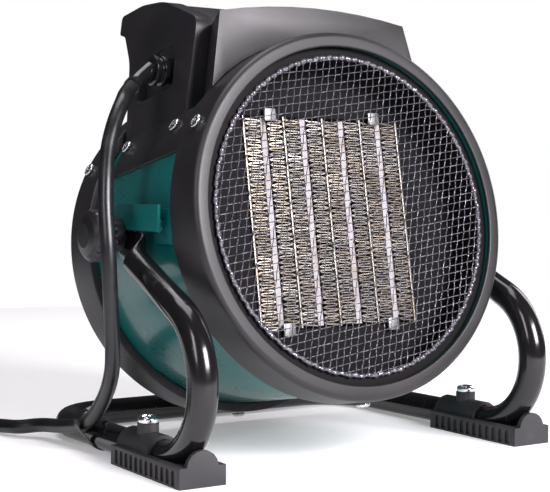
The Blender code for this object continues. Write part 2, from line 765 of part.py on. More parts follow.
def make_flange(name, side, drum):
    """A curved strip that lies on the drum, below one side of the console."""
    rings = []
    for depth in (RING_DEPTH + 1.5 * MM, CONSOLE_REAR - 7 * MM):
        ring = []
        for radius, angles in (
            (DRUM_RADIUS + GAP, np.linspace(FLANGE_FROM, FLANGE_TO, 5)),
            (DRUM_RADIUS + GAP + FLANGE_THICKNESS, np.linspace(FLANGE_TO, FLANGE_FROM, 5)),
        ):
            for angle in angles:
                x = -side * radius * math.cos(angle)
                ring.append(drum_point(x, depth, radius * math.sin(angle)))
        rings.append(ring)
    return loft(name, rings, None, drum)


def add_bushing_pocket(cap, side, drum):
    """Solid ground in a cap's side, with an arched pocket for the cord bushing sunk into it."""
    front, rear = BUSHING_DEPTH - 10 * MM, BUSHING_DEPTH + 36 * MM
    low, high = BUSHING_RISE - 11.5 * MM, BUSHING_RISE + 15 * MM
    corners = [
        (front, low, 3 * MM),
        (front + 1.5 * MM, high, 9 * MM),
        (front + 22 * MM, high + 0.5 * MM, 20 * MM),
        (rear - 1.5 * MM, high - 10 * MM, 12 * MM),
        (rear, low, 3 * MM),
    ]
    outline = rounded(inset_corners(corners, -CONSOLE_WALL), 2)
    inner = CAP_THICKNESS - 0.1 * MM
    join(cap, console_prism("bushing_ground", outline, inner, 1 * MM, side, None, drum))
    rings = []
    for x in (POCKET_X, CONSOLE_LOW_HALF_WIDTH + 5 * MM):
        rings.append([drum_point(side * x, depth, height) for depth, height in rounded(corners)])
    cut(cap, loft("bushing_pocket", rings, None, drum))


def make_console(drum):
    """Main moulding, two end caps that carry the flanges, and the control panel at the back."""
    side_inset = CAP_THICKNESS + GAP
    console = console_core("console_body", grip_outline(), side_inset, "black_plastic", drum)
    join(console, front_box("console_front", 0.8 * MM, None, drum))
    inside = grip_outline(CONSOLE_WALL)
    hollow = console_core("console_hollow", inside, CAP_THICKNESS + CONSOLE_WALL, None, drum)
    join(hollow, front_box("front_hollow", CONSOLE_WALL, None, drum))
    panel_low = CONSOLE_LOW + 38 * MM
    panel_high = CONSOLE_TOP - 31 * MM
    panel_half = console_half_width(panel_high) - CAP_THICKNESS - 6 * MM
    low = drum_point(-panel_half, PANEL_BACK - 8 * MM, panel_low)
    high = drum_point(panel_half, PANEL_BACK + 8 * MM, panel_high)
    window = box("panel_window", low, high, None, drum)
    cut(console, hollow, window, drum_cutter("drum_under_console", drum))
    beside = cap_outline(-GAP)
    for side, name in ((-1, "left"), (1, "right")):
        cutter = console_prism(f"beside_{name}", beside, side_inset, -5 * MM, side, None, drum)
        cut(console, cutter)

    plate_low = drum_point(-panel_half + GAP, PANEL_BACK - PANEL_THICKNESS, panel_low + GAP)
    plate_high = drum_point(panel_half - GAP, PANEL_BACK, panel_high - GAP)
    panel = box("control_panel", plate_low, plate_high, "black_plastic", drum)
    middle = (panel_low + panel_high) / 2
    for side, name in ((-1, "left"), (1, "right")):
        x = side * DIAL_SPACING / 2
        start = drum_point(x, PANEL_BACK - 9 * MM, middle)
        end = drum_point(x, PANEL_BACK + 9 * MM, middle)
        cut(panel, stem_hole(f"stem_hole_{name}", start, end, drum))
    for side, name in ((-1, "left"), (1, "right")):
        make_cap(name, side, drum)
    return middle


def stem_hole(name, start, end, drum):
    return rod(name, start, end, DIAL_STEM_RADIUS + RUNNING_GAP, None, drum)


def make_cap(name, side, drum):
    """An end cap of the console: its flange, its screws and, on the left, the bushing's pocket."""
    outline, inside = cap_outline(), cap_outline(CONSOLE_WALL)
    finish = "black_plastic"
    cap = console_prism(f"console_cap_{name}", outline, CAP_THICKNESS, 0, side, finish, drum)
    join(cap, make_flange(f"flange_{name}", side, drum))
    open_side = CAP_THICKNESS + 5 * MM
    cut(cap, console_prism(f"cap_pocket_{name}", inside, open_side, CONSOLE_WALL, side, None, drum))
    if side < 0:
        add_bushing_pocket(cap, side, drum)
    cut(cap, drum_cutter(f"drum_under_cap_{name}", drum))
    angle = FLANGE_FROM + 0.36 * (FLANGE_TO - FLANGE_FROM)
    outward = Vector((-side * math.cos(angle), 0, math.sin(angle)))
    seat = DRUM_RADIUS + FLANGE_THICKNESS + 2 * GAP
    for end, depth in (("front", 52.4 * MM), ("rear", DRUM_LENGTH - 46.2 * MM)):
        spot = drum_point(0, depth, 0) + outward * seat
        screw(f"console_screw_{name}_{end}", spot, outward, drum, FLANGE_THICKNESS)
        start = drum_point(0, depth, 0) + outward * (DRUM_RADIUS - 4 * MM)
        top = spot + outward * 4 * MM
        cut(cap, screw_hole(f"hole_console_{name}_{end}", start, top, drum))


def make_controls(drum, height):
    """Thermostat and mode switch behind the panel, each with a dial on its stem."""
    bodies = {"thermostat": (-1, 15 * MM), "mode_switch": (1, 13 * MM)}
    for name, (side, half) in bodies.items():
        x = side * DIAL_SPACING / 2
        back = PANEL_BACK - PANEL_THICKNESS - GAP
        low = drum_point(x - half, back - 20 * MM, height - half * 0.8)
        high = drum_point(x + half, back, height + half * 0.8)
        body = box(f"{name}_body", low, high, "black_plastic", drum)
        start = drum_point(x, back - 10 * MM, height)
        end = drum_point(x, back + 5 * MM, height)
        cut(body, stem_hole(f"{name}_bush", start, end, drum))
        base = RUNNING_GAP
        outline = [
            (0, -PANEL_THICKNESS - 8 * MM),
            (DIAL_STEM_RADIUS, -PANEL_THICKNESS - 8 * MM),
            (DIAL_STEM_RADIUS, base),
            (DIAL_RADIUS, base),
            (DIAL_RADIUS, base + 3 * MM),
            (DIAL_RADIUS - 1.5 * MM, DIAL_HEIGHT - 1 * MM),
            (DIAL_RADIUS - 3 * MM, DIAL_HEIGHT),
            (0, DIAL_HEIGHT),
        ]
        spot = drum_point(x, PANEL_BACK, height)
        turned(f"{name}_knob", outline, "black_plastic", drum, steps=20, place=spot)
    low = drum_point(-14 * MM, CONSOLE_FRONT + 10 * MM, DRUM_RADIUS + 3 * MM)
    high = drum_point(14 * MM, CONSOLE_FRONT + 22 * MM, DRUM_RADIUS + 15 * MM)
    box("terminal_block", low, high, "ceramic", drum)


def make_pivots(drum):
    """On each side a stud through the shell, a stop plate over the tube's flat end and a clamp knob."""
    shell = bpy.data.objects["drum_shell"]
    for side, name in ((-1, "left"), (1, "right")):
        x_head = SHELL_INSIDE * math.cos(math.pi / ROUND_STEPS) - GAP - STUD_HEAD_HEIGHT
        stud_outline = [
            (0, x_head),
            (STUD_HEAD_RADIUS, x_head),
            (STUD_HEAD_RADIUS, x_head + STUD_HEAD_HEIGHT - 0.4 * MM),
            (STUD_RADIUS, x_head + STUD_HEAD_HEIGHT - 0.4 * MM),
            (STUD_RADIUS, KNOB_INSIDE + KNOB_LENGTH * 0.6),
            (0, KNOB_INSIDE + KNOB_LENGTH * 0.6),
        ]
        turn = (0, 0, -side * math.pi / 2)
        turned(f"pivot_stud_{name}", stud_outline, "zinc", drum, steps=12, turn=turn)

        make_clamp_knob(name, side, drum)
        make_stop_plate(name, side, drum, shell)


def make_clamp_knob(name, side, drum):
    """A ribbed knob on its stud, with a blind bore from its inner face."""
    rings = []
    for x, radius, ribbed in (
        (0, KNOB_RADIUS - 1.5 * MM, False),
        (4 * MM, KNOB_RADIUS - 1.5 * MM, False),
        (5 * MM, KNOB_RADIUS, True),
        (KNOB_LENGTH - 5 * MM, KNOB_RADIUS, True),
        (KNOB_LENGTH - 3.5 * MM, KNOB_RADIUS - 1 * MM, False),
        (KNOB_LENGTH - 1.2 * MM, KNOB_RADIUS - 3.5 * MM, False),
        (KNOB_LENGTH, KNOB_RADIUS - 8 * MM, False),
    ):
        ring = []
        for k in range(2 * KNOB_RIBS):
            angle = math.pi * k / KNOB_RIBS
            reach = radius - (KNOB_RIB_DEPTH if ribbed and k % 2 else 0)
            ring.append((side * x, reach * math.cos(angle), reach * math.sin(angle)))
        rings.append(ring)
    place = (side * KNOB_INSIDE, 0, 0)
    knob = loft(f"clamp_knob_{name}", rings, "black_plastic", drum, place=place)
    start = (side * (KNOB_INSIDE - 2 * MM), 0, 0)
    end = (side * (KNOB_INSIDE + KNOB_LENGTH * 0.7), 0, 0)
    return cut(knob, rod(f"knob_bore_{name}", start, end, STUD_RADIUS + RUNNING_GAP, None, drum))


def make_stop_plate(name, side, drum, shell):
    """A leaf over the tube's flat end, a web in to the shell, and a foot plate with its screw."""

    def slab(piece, inner, outer, outline, finish=None):
        rings = [[(side * x, y, z) for y, z in outline] for x in (inner, outer)]
        return loft(piece, rings, finish, drum, turn=(STOP_SLOPE, 0, 0))

    low = STOP_RISE - STOP_WIDTH / 2
    high = STOP_RISE + STOP_WIDTH / 2
    end_round = STOP_WIDTH / 2 - 0.01 * MM
    corners = [
        (-STOP_AHEAD, low, 0),
        (STOP_BEHIND, low, end_round),
        (STOP_BEHIND, high, end_round),
        (-STOP_AHEAD, high, 0),
    ]
    leaf = rounded(corners, 5)
    plate = slab(f"stop_plate_{name}", STOP_INSIDE, STOP_OUTSIDE, leaf, "drum_paint")
    seat = DRUM_RADIUS + 2 * GAP
    web_y = -STOP_WEB_AHEAD, -STOP_WEB_AHEAD + STOP_THICKNESS
    web_low, web_high = low + 1 * MM, high - 3 * MM
    web = [(web_y[0], web_low), (web_y[1], web_low), (web_y[1], web_high), (web_y[0], web_high)]
    foot_low = STOP_FOOT_RISE - STOP_FOOT_HEIGHT / 2
    foot_high = STOP_FOOT_RISE + STOP_FOOT_HEIGHT / 2
    foot_back = web_y[1] - GAP
    foot_front = -STOP_FOOT_AHEAD
    foot = [
        (foot_front, foot_low),
        (foot_back, foot_low),
        (foot_back, foot_high),
        (foot_front, foot_high),
    ]
    half = STOP_THICKNESS / 2
    join(
        plate,
        slab(f"stop_web_{name}", seat + half, STOP_INSIDE + half, web),
        slab(f"stop_foot_{name}", seat, seat + STOP_THICKNESS, foot),
    )
    spot = Vector((side * (seat + STOP_THICKNESS + GAP), -STOP_SCREW_AHEAD, STOP_FOOT_RISE))
    spot.rotate(Matrix.Rotation(STOP_SLOPE, 3, "X"))
    shank = STOP_THICKNESS + 2 * GAP
    screw(f"stop_screw_{name}", spot, (side, 0, 0), drum, shank, finish="drum_paint")
    inward = spot - Vector((side * 8 * MM, 0, 0))
    outward = spot + Vector((side * 4 * MM, 0, 0))
    hole = screw_hole(f"stop_hole_{name}", inward, outward, drum)
    cut(plate, hole)
    cut(shell, hole)


def rail_height(y):
    """Height of a rail's centre line, which falls a little towards the crossbar."""
    return RAIL_Z - RAIL_FALL * (y - BEND_Y)


def stand_path(side_steps=12, corner_steps=7):
    """Centre line of half the stand's tube, from the flat end to the middle of the crossbar, on +X."""
    leg = Vector((0, -math.cos(LEG_SLOPE), -math.sin(LEG_SLOPE)))
    pivot = Vector((LEG_X, PIVOT_Y, PIVOT_Z - LEG_BELOW_PIVOT))
    marks = [-FLAT_PAST_PIVOT, 0, FLAT_AHEAD_OF_PIVOT]
    marks += [FLAT_AHEAD_OF_PIVOT + FLAT_TRANSITION * k / 4 for k in (1, 2, 3, 4)]
    points = [pivot + leg * mark for mark in marks]
    start = math.pi / 2 + LEG_SLOPE
    for y, z in arc((BEND_Y, BEND_Z), FRONT_BEND, start, 3 * math.pi / 2, side_steps):
        points.append(Vector((LEG_X, y, z)))
    corner = (LEG_X - REAR_BEND, CROSSBAR_Y - REAR_BEND)
    for x, y in arc(corner, REAR_BEND, 0, math.pi / 2, corner_steps):
        points.append(Vector((x, y, rail_height(y))))
    return points, marks


def tube_rings(points, marks, radius, sides, corner_steps=7):
    """Rings of points round the path: flat and pushed inwards over the first marks, then round."""
    rings = []
    count = len(points)
    for i, here in enumerate(points):
        ahead = points[min(i + 1, count - 1)] - here
        behind = here - points[max(i - 1, 0)]
        along = (ahead.normalized() + behind.normalized()).normalized()
        across = Vector((1, 0, 0))
        if i >= count - corner_steps:
            across = along.cross(Vector((0, 0, 1))).normalized()
        up = across.cross(along).normalized()
        flat = 0.0
        if i < len(marks):
            share = (marks[i] - FLAT_AHEAD_OF_PIVOT) / FLAT_TRANSITION
            flat = 1 - min(max(share, 0), 1)
            flat = flat * flat * (3 - 2 * flat)
        thin = radius + (FLAT_THICKNESS / 2 - radius) * flat
        wide = radius + (FLAT_WIDTH / 2 - radius) * flat
        shift = -(TUBE_RADIUS - FLAT_THICKNESS / 2) * flat
        power = 1 - 0.55 * flat
        ring = []
        for k in range(sides):
            angle = 2 * math.pi * k / sides
            c, s = math.cos(angle), math.sin(angle)
            u = thin * math.copysign(abs(c) ** power, c) + shift
            v = wide * s
            ring.append(here + across * u + up * v)
        rings.append(ring)
    return rings


def mirrored(rings):
    """The rings of the other half, in the order that carries on from the first half."""
    other = []
    for ring in reversed(rings):
        other.append([Vector((-point.x, point.y, point.z)) for point in ring])
    return other


def make_stand():
    """One bent tube, hollow inside, whose flat ends take the pivot studs."""
    points, marks = stand_path()
    half = tube_rings(points, marks, TUBE_RADIUS, TUBE_SIDES)
    tube = loft("stand_tube", half + mirrored(half), "black_enamel")
    inner_points = points[len(marks) :]
    inner = tube_rings(inner_points, [], TUBE_RADIUS - TUBE_WALL, 6)
    cut(tube, loft("tube_bore", inner + mirrored(inner), None))
    reach = LEG_X + TUBE_RADIUS + 4 * MM
    ends = (-reach, PIVOT_Y, PIVOT_Z), (reach, PIVOT_Y, PIVOT_Z)
    return cut(tube, rod("pivot_bore", *ends, STUD_RADIUS + RUNNING_GAP, None))


def foot_section(saddle_radius, sides=8):
    """Front view of a foot: a low block with a round hump over the tube."""
    half = FOOT_WIDTH / 2
    lift = math.asin(min((FOOT_SHOULDER - RAIL_Z) / saddle_radius, 0.9))
    hump = arc((0, RAIL_Z), saddle_radius, lift, math.pi - lift, sides)
    return [(-half, 0), (half, 0), (half, FOOT_SHOULDER), *hump, (-half, FOOT_SHOULDER)]


def recess_comb(name, x, front, back):
    """The arched recesses down both sides of a foot, as one cutter."""
    bm = bmesh.new()
    pitch = (back - front - 8 * MM) / FOOT_RECESSES
    half = 0.3 * pitch
    top = FOOT_SHOULDER - 1.6 * MM - half
    for i in range(FOOT_RECESSES):
        y = front + 4 * MM + (i + 0.5) * pitch
        outline = [(y - half, 1.2 * MM), (y + half, 1.2 * MM), *arc((y, top), half, 0, math.pi, 3)]
        for side in (-1, 1):
            edge = FOOT_WIDTH / 2
            loops = []
            for reach in (edge - RECESS_DEPTH, edge + 1 * MM):
                loops.append([bm.verts.new((x + side * reach, u, v)) for u, v in outline])
            count = len(outline)
            for k in range(count):
                n = (k + 1) % count
                bm.faces.new((loops[0][k], loops[0][n], loops[1][n], loops[1][k]))
            bm.faces.new(loops[0])
            bm.faces.new(loops[1])
    return finish_mesh(f"foot_recesses_{name}", bm, None)


def make_feet(tube):
    """A moulded foot under each rail: a saddle over the tube at the back and a trough ahead of it."""
    front = BEND_Y - FOOT_AHEAD_OF_BEND
    back = front + FOOT_LENGTH
    points, _ = stand_path()
    hump = TUBE_RADIUS + GAP + SADDLE_WALL
    boss_y = back - SADDLE_LENGTH / 2
    boss_top = RAIL_Z + hump + BOSS_HEIGHT
    for side, name in ((-1, "left"), (1, "right")):
        x = side * LEG_X
        saddle, low_saddle = foot_section(hump), foot_section(hump - 1 * MM)
        rings = [[(x + u, y, z) for u, z in saddle] for y in (back - SADDLE_LENGTH, back)]
        foot = loft(f"foot_{name}", rings, "foot_rubber")
        half = FOOT_WIDTH / 2
        block_low = (x - half, front, 0)
        block_high = (x + half, back - 1 * MM, FOOT_SHOULDER)
        block = box(f"foot_block_{name}", block_low, block_high, None)
        wall_ys = front, front + FOOT_FRONT_WALL
        wall_rings = [[(x + u, y, z) for u, z in low_saddle] for y in wall_ys]
        wall = loft(f"foot_wall_{name}", wall_rings, None)
        boss = rod(f"foot_boss_{name}", (x, boss_y, RAIL_Z), (x, boss_y, boss_top), BOSS_RADIUS, None)
        join(foot, block, wall, boss)

        clear = TUBE_RADIUS + GAP
        path = [Vector((side * p.x, p.y, p.z)) for p in points if p.z < BEND_Z and p.x > LEG_X - MM]
        path.append(Vector((x, path[-1].y + FOOT_LENGTH, path[-1].z)))
        rings = []
        angles = [2 * math.pi * k / TUBE_SIDES for k in range(TUBE_SIDES)]
        for p, q in zip(path, path[1:] + [path[-1]]):
            ahead = (q - p).normalized() if q != p else Vector((0, 1, 0))
            sideways = Vector((clear, 0, 0))
            up = Vector((1, 0, 0)).cross(ahead) * clear
            rings.append([p + sideways * math.cos(a) + up * math.sin(a) for a in angles])
        channel = loft(f"tube_channel_{name}", rings, None)
        trough_low = (x - clear, front + FOOT_FRONT_WALL, RAIL_Z)
        trough_high = (x + clear, back - SADDLE_LENGTH, RAIL_Z + 30 * MM)
        trough = box(f"foot_trough_{name}", trough_low, trough_high, None)
        shank = (x, boss_y, RAIL_Z + 2 * MM), (x, boss_y, boss_top + 4 * MM)
        hole = screw_hole(f"foot_hole_{name}", *shank, None)
        cut(foot, channel, trough, hole, recess_comb(name, x, front, back))
        cut(tube, hole)
        head = 5.5 * MM
        spot = (x, boss_y, boss_top + GAP)
        shank_length = boss_top - RAIL_Z - 4 * MM
        screw(f"foot_screw_{name}", spot, (0, 0, 1), None, shank_length, head, 4 * MM)


def cord_exit():
    """Where the cord leaves its bushing, in the room."""
    x = console_half_width(BUSHING_RISE) + BUSHING_REACH
    spot = drum_point(-x, BUSHING_DEPTH, BUSHING_RISE)
    spot.rotate(Matrix.Rotation(-REST_TILT, 3, "X"))
    return spot + Vector((0, PIVOT_Y, PIVOT_Z))


def along(start, steps):
    """The points at these (x, y, z) offsets, in millimetres, from a start."""
    return [start + Vector(step) * MM for step in steps]


def cord_route():
    """Route of the cord, chosen by hand: from the bushing past the knob, to the tie and the coil."""
    beside_knob = Vector((-LEG_X, PIVOT_Y, PIVOT_Z))
    at_tie = Vector((-LEG_X, TIE_Y, 0))
    coil = coil_centre()
    leaving = [(0, 0, 0), (-12, -4.6, -8.2), (-22, -14, -14.6), (-30.5, -25.5, -21.2)]
    return [
        *along(cord_exit(), leaving),
        *along(beside_knob, [(-7, -12.2, 61.2), (-13, -17.2, 46.8), (-17, -23.1, 30.5)]),
        *along(beside_knob, [(-19, -27.3, 14.6), (-20, -31.9, -3.8), (-19, -32.3, -27.7)]),
        *along(at_tie, [(-17, -46.5, 73.7), (-14, -40.4, 51.4), (-10.6, -22.1, 32.3)]),
        *along(at_tie, [(-10.4, 0, 16.8), (-12.2, 25, 11.2), (-16.4, 52.5, 8)]),
        *along(coil, [(69.5, -35, 6.2), (64, -22.5, 5.4), (58.6, -12, 5)]),
    ]


def tail_route():
    """Route of the cord from the coil to the plug."""
    steps = [(-45, -43.6, 5), (-42, -58.3, 7), (-40.3, -73.9, 12.5), (-39.2, -87.5, 17), (-38.5, -97.7, 18.5)]
    return along(coil_centre(), steps)


def coil_centre():
    return Vector((-LEG_X - 95 * MM, TIE_Y + 98 * MM, 0))


def smooth_through(points, spacing):
    """A smooth curve through the points, read off at even steps."""
    points = np.array(points)
    steps = np.linalg.norm(np.diff(points, axis=0), axis=1) ** 0.5
    knots = np.concatenate([[0], np.cumsum(steps)])
    padded = np.vstack([2 * points[0] - points[1], points, 2 * points[-1] - points[-2]])
    times = np.concatenate([[-steps[0]], knots, [knots[-1] + steps[-1]]])

    def between(near, far, start, end, time):
        return near + (far - near) * (time - start) / (end - start)

    fine = []
    for i in range(1, len(points)):
        p, t = padded[i - 1 : i + 3], times[i - 1 : i + 3]
        for s in np.linspace(t[1], t[2], 24, endpoint=False):
            a = [between(p[k], p[k + 1], t[k], t[k + 1], s) for k in range(3)]
            b = [between(a[k], a[k + 1], t[k], t[k + 2], s) for k in range(2)]
            fine.append(between(b[0], b[1], t[1], t[2], s))
    fine.append(points[-1])
    fine = np.array(fine)
    travelled = np.concatenate([[0], np.cumsum(np.linalg.norm(np.diff(fine, axis=0), axis=1))])
    count = max(2, round(travelled[-1] / spacing))
    marks = np.linspace(0, travelled[-1], count + 1)
    return np.stack([np.interp(marks, travelled, fine[:, k]) for k in range(3)], axis=1)


def cord_run(name, points, finish):
    curve = bpy.data.curves.new(name, "CURVE")
    curve.dimensions = "3D"
    curve.bevel_depth = CORD_RADIUS
    curve.bevel_resolution = 2
    curve.use_fill_caps = True
    spline = curve.splines.new("POLY")
    spline.points.add(len(points) - 1)
    for slot, point in zip(spline.points, points):
        slot.co = (*point, 1)
    curve.materials.append(material(finish))
    obj = bpy.data.objects.new(name, curve)
    bpy.context.scene.collection.objects.link(obj)
    return obj


def make_cord(drum):
    """The lead from the bushing to its coil, the coil's outer shape, and the plug."""
    fine = smooth_through(cord_route(), 1 * MM)
    sleeve_steps = round(SLEEVE_LENGTH / MM)
    lead = smooth_through(fine[sleeve_steps + 1 :], 4 * CORD_RADIUS)
    cord_run("mains_cord", lead, "cord_rubber")
    make_bushing(fine[: sleeve_steps + 1], drum)
    make_tie(lead)
    wide = COIL_TURNS_WIDE * CORD_RADIUS
    high = COIL_TURNS_HIGH * 2 * CORD_RADIUS
    outline = [
        (COIL_RADIUS - wide, 0.2 * MM),
        (COIL_RADIUS - wide, high),
        (COIL_RADIUS + wide, high),
        (COIL_RADIUS + wide, 0.2 * MM),
    ]
    flat = (math.pi / 2, 0, 0)
    turned("cord_coil", outline, "cord_rubber", steps=24, place=coil_centre(), turn=flat)
    tail = smooth_through(tail_route(), 5 * CORD_RADIUS)
    cord_run("cord_tail", tail, "cord_rubber")
    make_plug(Vector(tail[-1]), Vector(tail[-1] - tail[-2]))


def make_bushing(lead, drum):
    """A stepped round bushing in the cap's pocket, with a short tapered sleeve along the cord."""
    outer = console_half_width(BUSHING_RISE) + BUSHING_REACH
    inner = POCKET_X + GAP
    length = outer - inner
    collars = [(0, 0.84), (0.42, 0.84), (0.45, 1), (0.62, 1), (0.65, 0.84)]
    collars += [(0.78, 0.84), (0.81, 1), (0.96, 1), (1, 0.86)]
    profile = [(BUSHING_RADIUS * size, length * share) for share, size in collars]
    outline = [(0, 0), *profile, (0, length)]
    spot = drum_point(-inner, BUSHING_DEPTH, BUSHING_RISE)
    turn = (0, 0, math.pi / 2)
    finish = "bushing_rubber"
    bushing = turned("cord_bushing", outline, finish, drum, steps=16, place=spot, turn=turn)
    drum_place = Matrix.Translation((0, PIVOT_Y, PIVOT_Z)) @ Matrix.Rotation(-REST_TILT, 4, "X")
    to_drum = drum_place.inverted()
    points = [to_drum @ Vector(point) for point in lead[::4]] + [to_drum @ Vector(lead[-1])]
    points[0] = points[0] + (points[0] - points[1]).normalized() * 3 * MM
    rings = []
    for i, here in enumerate(points):
        ahead = points[min(i + 1, len(points) - 1)] - points[max(i - 1, 0)]
        turn = ahead.to_track_quat("Z", "Y").to_matrix()
        radius = CORD_RADIUS + SLEEVE_WALL * (1 - 0.6 * i / (len(points) - 1))
        angles = [2 * math.pi * k / 12 for k in range(12)]
        rings.append([here + turn @ Vector((math.cos(a), math.sin(a), 0)) * radius for a in angles])
    join(bushing, loft("bushing_sleeve", rings, None, drum))


def make_tie(lead):
    """A strap round the left rail and the cord where they run side by side."""
    rail = Vector((-LEG_X, rail_height(TIE_Y)))
    last = max(i for i in range(len(lead) - 1) if lead[i][1] < TIE_Y <= lead[i + 1][1])
    share = (TIE_Y - lead[last][1]) / (lead[last + 1][1] - lead[last][1])
    beside = lead[last] + share * (lead[last + 1] - lead[last])
    cord = Vector((beside[0], beside[2]))
    sizes = TUBE_RADIUS + 0.8 * GAP, CORD_RADIUS + 1.8 * MM
    lean = (cord - rail).to_2d()
    apart = lean.length
    facing = math.atan2(lean.y, lean.x)
    spread = math.acos((sizes[0] - sizes[1]) / apart)

    def loop(extra, y):
        ring = []
        for centre, size, start, end, steps in (
            (cord, sizes[1] + extra, facing - spread, facing + spread, 6),
            (rail, sizes[0] + extra, facing + spread, facing + 2 * math.pi - spread, 14),
        ):
            ring += [Vector((x, y, z)) for x, z in arc(centre, size, start, end, steps)]
        return ring

    near, far = TIE_Y - TIE_WIDTH / 2, TIE_Y + TIE_WIDTH / 2
    loops = [loop(0, near), loop(TIE_THICKNESS, near), loop(TIE_THICKNESS, far), loop(0, far)]
    bm = bmesh.new()
    rows = [[bm.verts.new(point) for point in ring] for ring in loops]
    count = len(rows[0])
    for a, b in zip(rows, rows[1:] + rows[:1]):
        for i in range(count):
            k = (i + 1) % count
            bm.faces.new((a[i], a[k], b[k], b[i]))
    finish_mesh("cable_tie", bm, "black_plastic")


def make_plug(neck, heading):
    """A round moulded plug that lies on its side, with two pins."""
    heading.z = 0
    heading.normalize()
    outline = [
        (0, 3 * GAP),
        (CORD_RADIUS + 1.2 * MM, 3 * GAP),
        (CORD_RADIUS + 3 * MM, 12 * MM),
        (PLUG_RADIUS * 0.62, 15 * MM),
        (PLUG_RADIUS - 1.5 * MM, 19 * MM),
        (PLUG_RADIUS, 22 * MM),
        (PLUG_RADIUS, PLUG_LENGTH - 1 * MM),
        (PLUG_RADIUS - 1 * MM, PLUG_LENGTH),
        (0, PLUG_LENGTH),
    ]
    turn = (0, 0, math.atan2(-heading.x, heading.y))
    plug = turned("mains_plug", outline, "cord_rubber", steps=20, place=neck, turn=turn)
    across = Vector((heading.y, -heading.x, 0)) * PIN_SPACING / 2
    for side, name in ((-1, "left"), (1, "right")):
        root = neck + across * side + heading * (PLUG_LENGTH - 3 * MM)
        tip = root + heading * (PIN_LENGTH + 3 * MM)
        join(plug, rod(f"plug_pin_{name}", root, tip, PIN_RADIUS, None))


def main():
    clear_scene()
    drum = empty("drum_tilt_axis", (0, PIVOT_Y, PIVOT_Z), (-REST_TILT, 0, 0))
    fan_axis = empty("fan_axis", (0, 0, drum_z(0)))
    fan_axis.parent = drum
    make_shell(drum)
    make_rings(drum)
    make_grilles(drum)
    make_ring_screws(drum)
    make_element(drum)
    make_fan(drum, fan_axis)
    panel_height = make_console(drum)
    make_controls(drum, panel_height)
    make_pivots(drum)
    tube = make_stand()
    make_feet(tube)
    make_cord(drum)


main()
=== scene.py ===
"""Visible pieces, finishes and stage of a ceramic space heater, built round its CAD frame."""

import math

import bmesh
import bpy
import numpy as np
from bpy.props import FloatProperty, FloatVectorProperty, IntProperty, PointerProperty
from mathutils import Matrix, Vector


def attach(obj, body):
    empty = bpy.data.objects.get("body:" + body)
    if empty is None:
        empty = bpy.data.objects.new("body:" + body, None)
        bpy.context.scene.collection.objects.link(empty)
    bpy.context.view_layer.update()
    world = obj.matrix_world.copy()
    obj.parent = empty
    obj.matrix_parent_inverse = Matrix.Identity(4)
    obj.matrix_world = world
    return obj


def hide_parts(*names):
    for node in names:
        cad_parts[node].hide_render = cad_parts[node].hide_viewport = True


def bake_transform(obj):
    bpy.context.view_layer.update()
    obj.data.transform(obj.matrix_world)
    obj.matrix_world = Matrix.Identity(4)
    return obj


bl_info = {
    "name": "Ceramic Space Heater",
    "version": (1, 0, 0),
    "blender": (4, 5, 0),
    "location": "3D View > Sidebar > Heater",
    "description": "Builds the visible pieces and finishes of a ceramic space heater",
    "category": "Object",
}

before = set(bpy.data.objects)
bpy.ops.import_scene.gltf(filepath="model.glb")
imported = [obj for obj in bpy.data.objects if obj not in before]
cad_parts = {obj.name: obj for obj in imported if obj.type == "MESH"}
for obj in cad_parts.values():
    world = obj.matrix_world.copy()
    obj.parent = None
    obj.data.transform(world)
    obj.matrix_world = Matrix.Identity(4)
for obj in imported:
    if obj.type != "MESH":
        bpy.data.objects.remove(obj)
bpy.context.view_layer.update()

MM = 0.001
TAU = 2 * math.pi

# The drum's own frame: x across, depth back from the front plane, height above the drum's axis.
PIVOT = np.array((0.0, 0.00269, 0.122936))
REST_TILT = math.radians(10.3)
DRUM_RADIUS = 98 * MM
DRUM_LENGTH = 158.7 * MM
PIVOT_DEPTH = 78.05 * MM
PIVOT_RISE = 1 * MM
RING_RADIUS = 103.5 * MM
RING_DEPTH = 27.6 * MM
OPENING_RADIUS = 95 * MM
SHELL_INSIDE = 96.8 * MM
GAP = 0.3 * MM

LEG_X = 111 * MM
LEG_SLOPE = math.radians(24.6)
LEG_TOP_Z = PIVOT[2] - 1.8 * MM
RAIL_Z = 9.6 * MM
FRONT_BEND = 40.5 * MM
REAR_BEND = 36 * MM
BEND_Y = -55.18 * MM
BEND_Z = 50.1 * MM
CROSSBAR_Y = 94.66 * MM
CROSSBAR_Z = 8 * MM
TIE_Y = 18.82 * MM
# The flattened free end of a leg: where it starts to close, and its radius and section.
EYE_START = 1.5 * MM
EYE_RADIUS = 12.5 * MM
FLAT_WIDTH = 12.1 * MM
FLAT_THICKNESS = 1.6 * MM
# Where the console's side flanges are screwed to the drum, seen along its axis.
FLANGE_ANGLE = math.radians(138 + 0.36 * 17.5)

# The cord's coil, and the degrees at which the cord starts to change place in it.
COIL_CENTRE = np.array((-206.0, 116.82, 0.0)) * MM
COIL_APART = 8.6 * MM
COIL_OUTER = 51.8 * MM
COIL_LOW = 4.45 * MM
COIL_CHANGES = (310, 670, 1030)

BUSHING_LENGTH = 14.85 * MM
# Shares of the bushing's radius and length.
BUSHING_COLLARS = (
    (0.84, 0), (0.84, 0.42), (1, 0.45), (1, 0.62), (0.84, 0.65),
    (0.84, 0.78), (1, 0.81), (1, 0.96), (0.86, 1),
)

# The guard's weave: its reach, its depth, its swing and the slopes of its two families.
GUARD_REACH = 89.0 * MM
GUARD_DEPTH = 3.2 * MM
GUARD_SWING = 0.32 * MM
WEFT_SLOPE = math.radians(8.5)
WARP_SLOPE = math.radians(90 - 12.5)

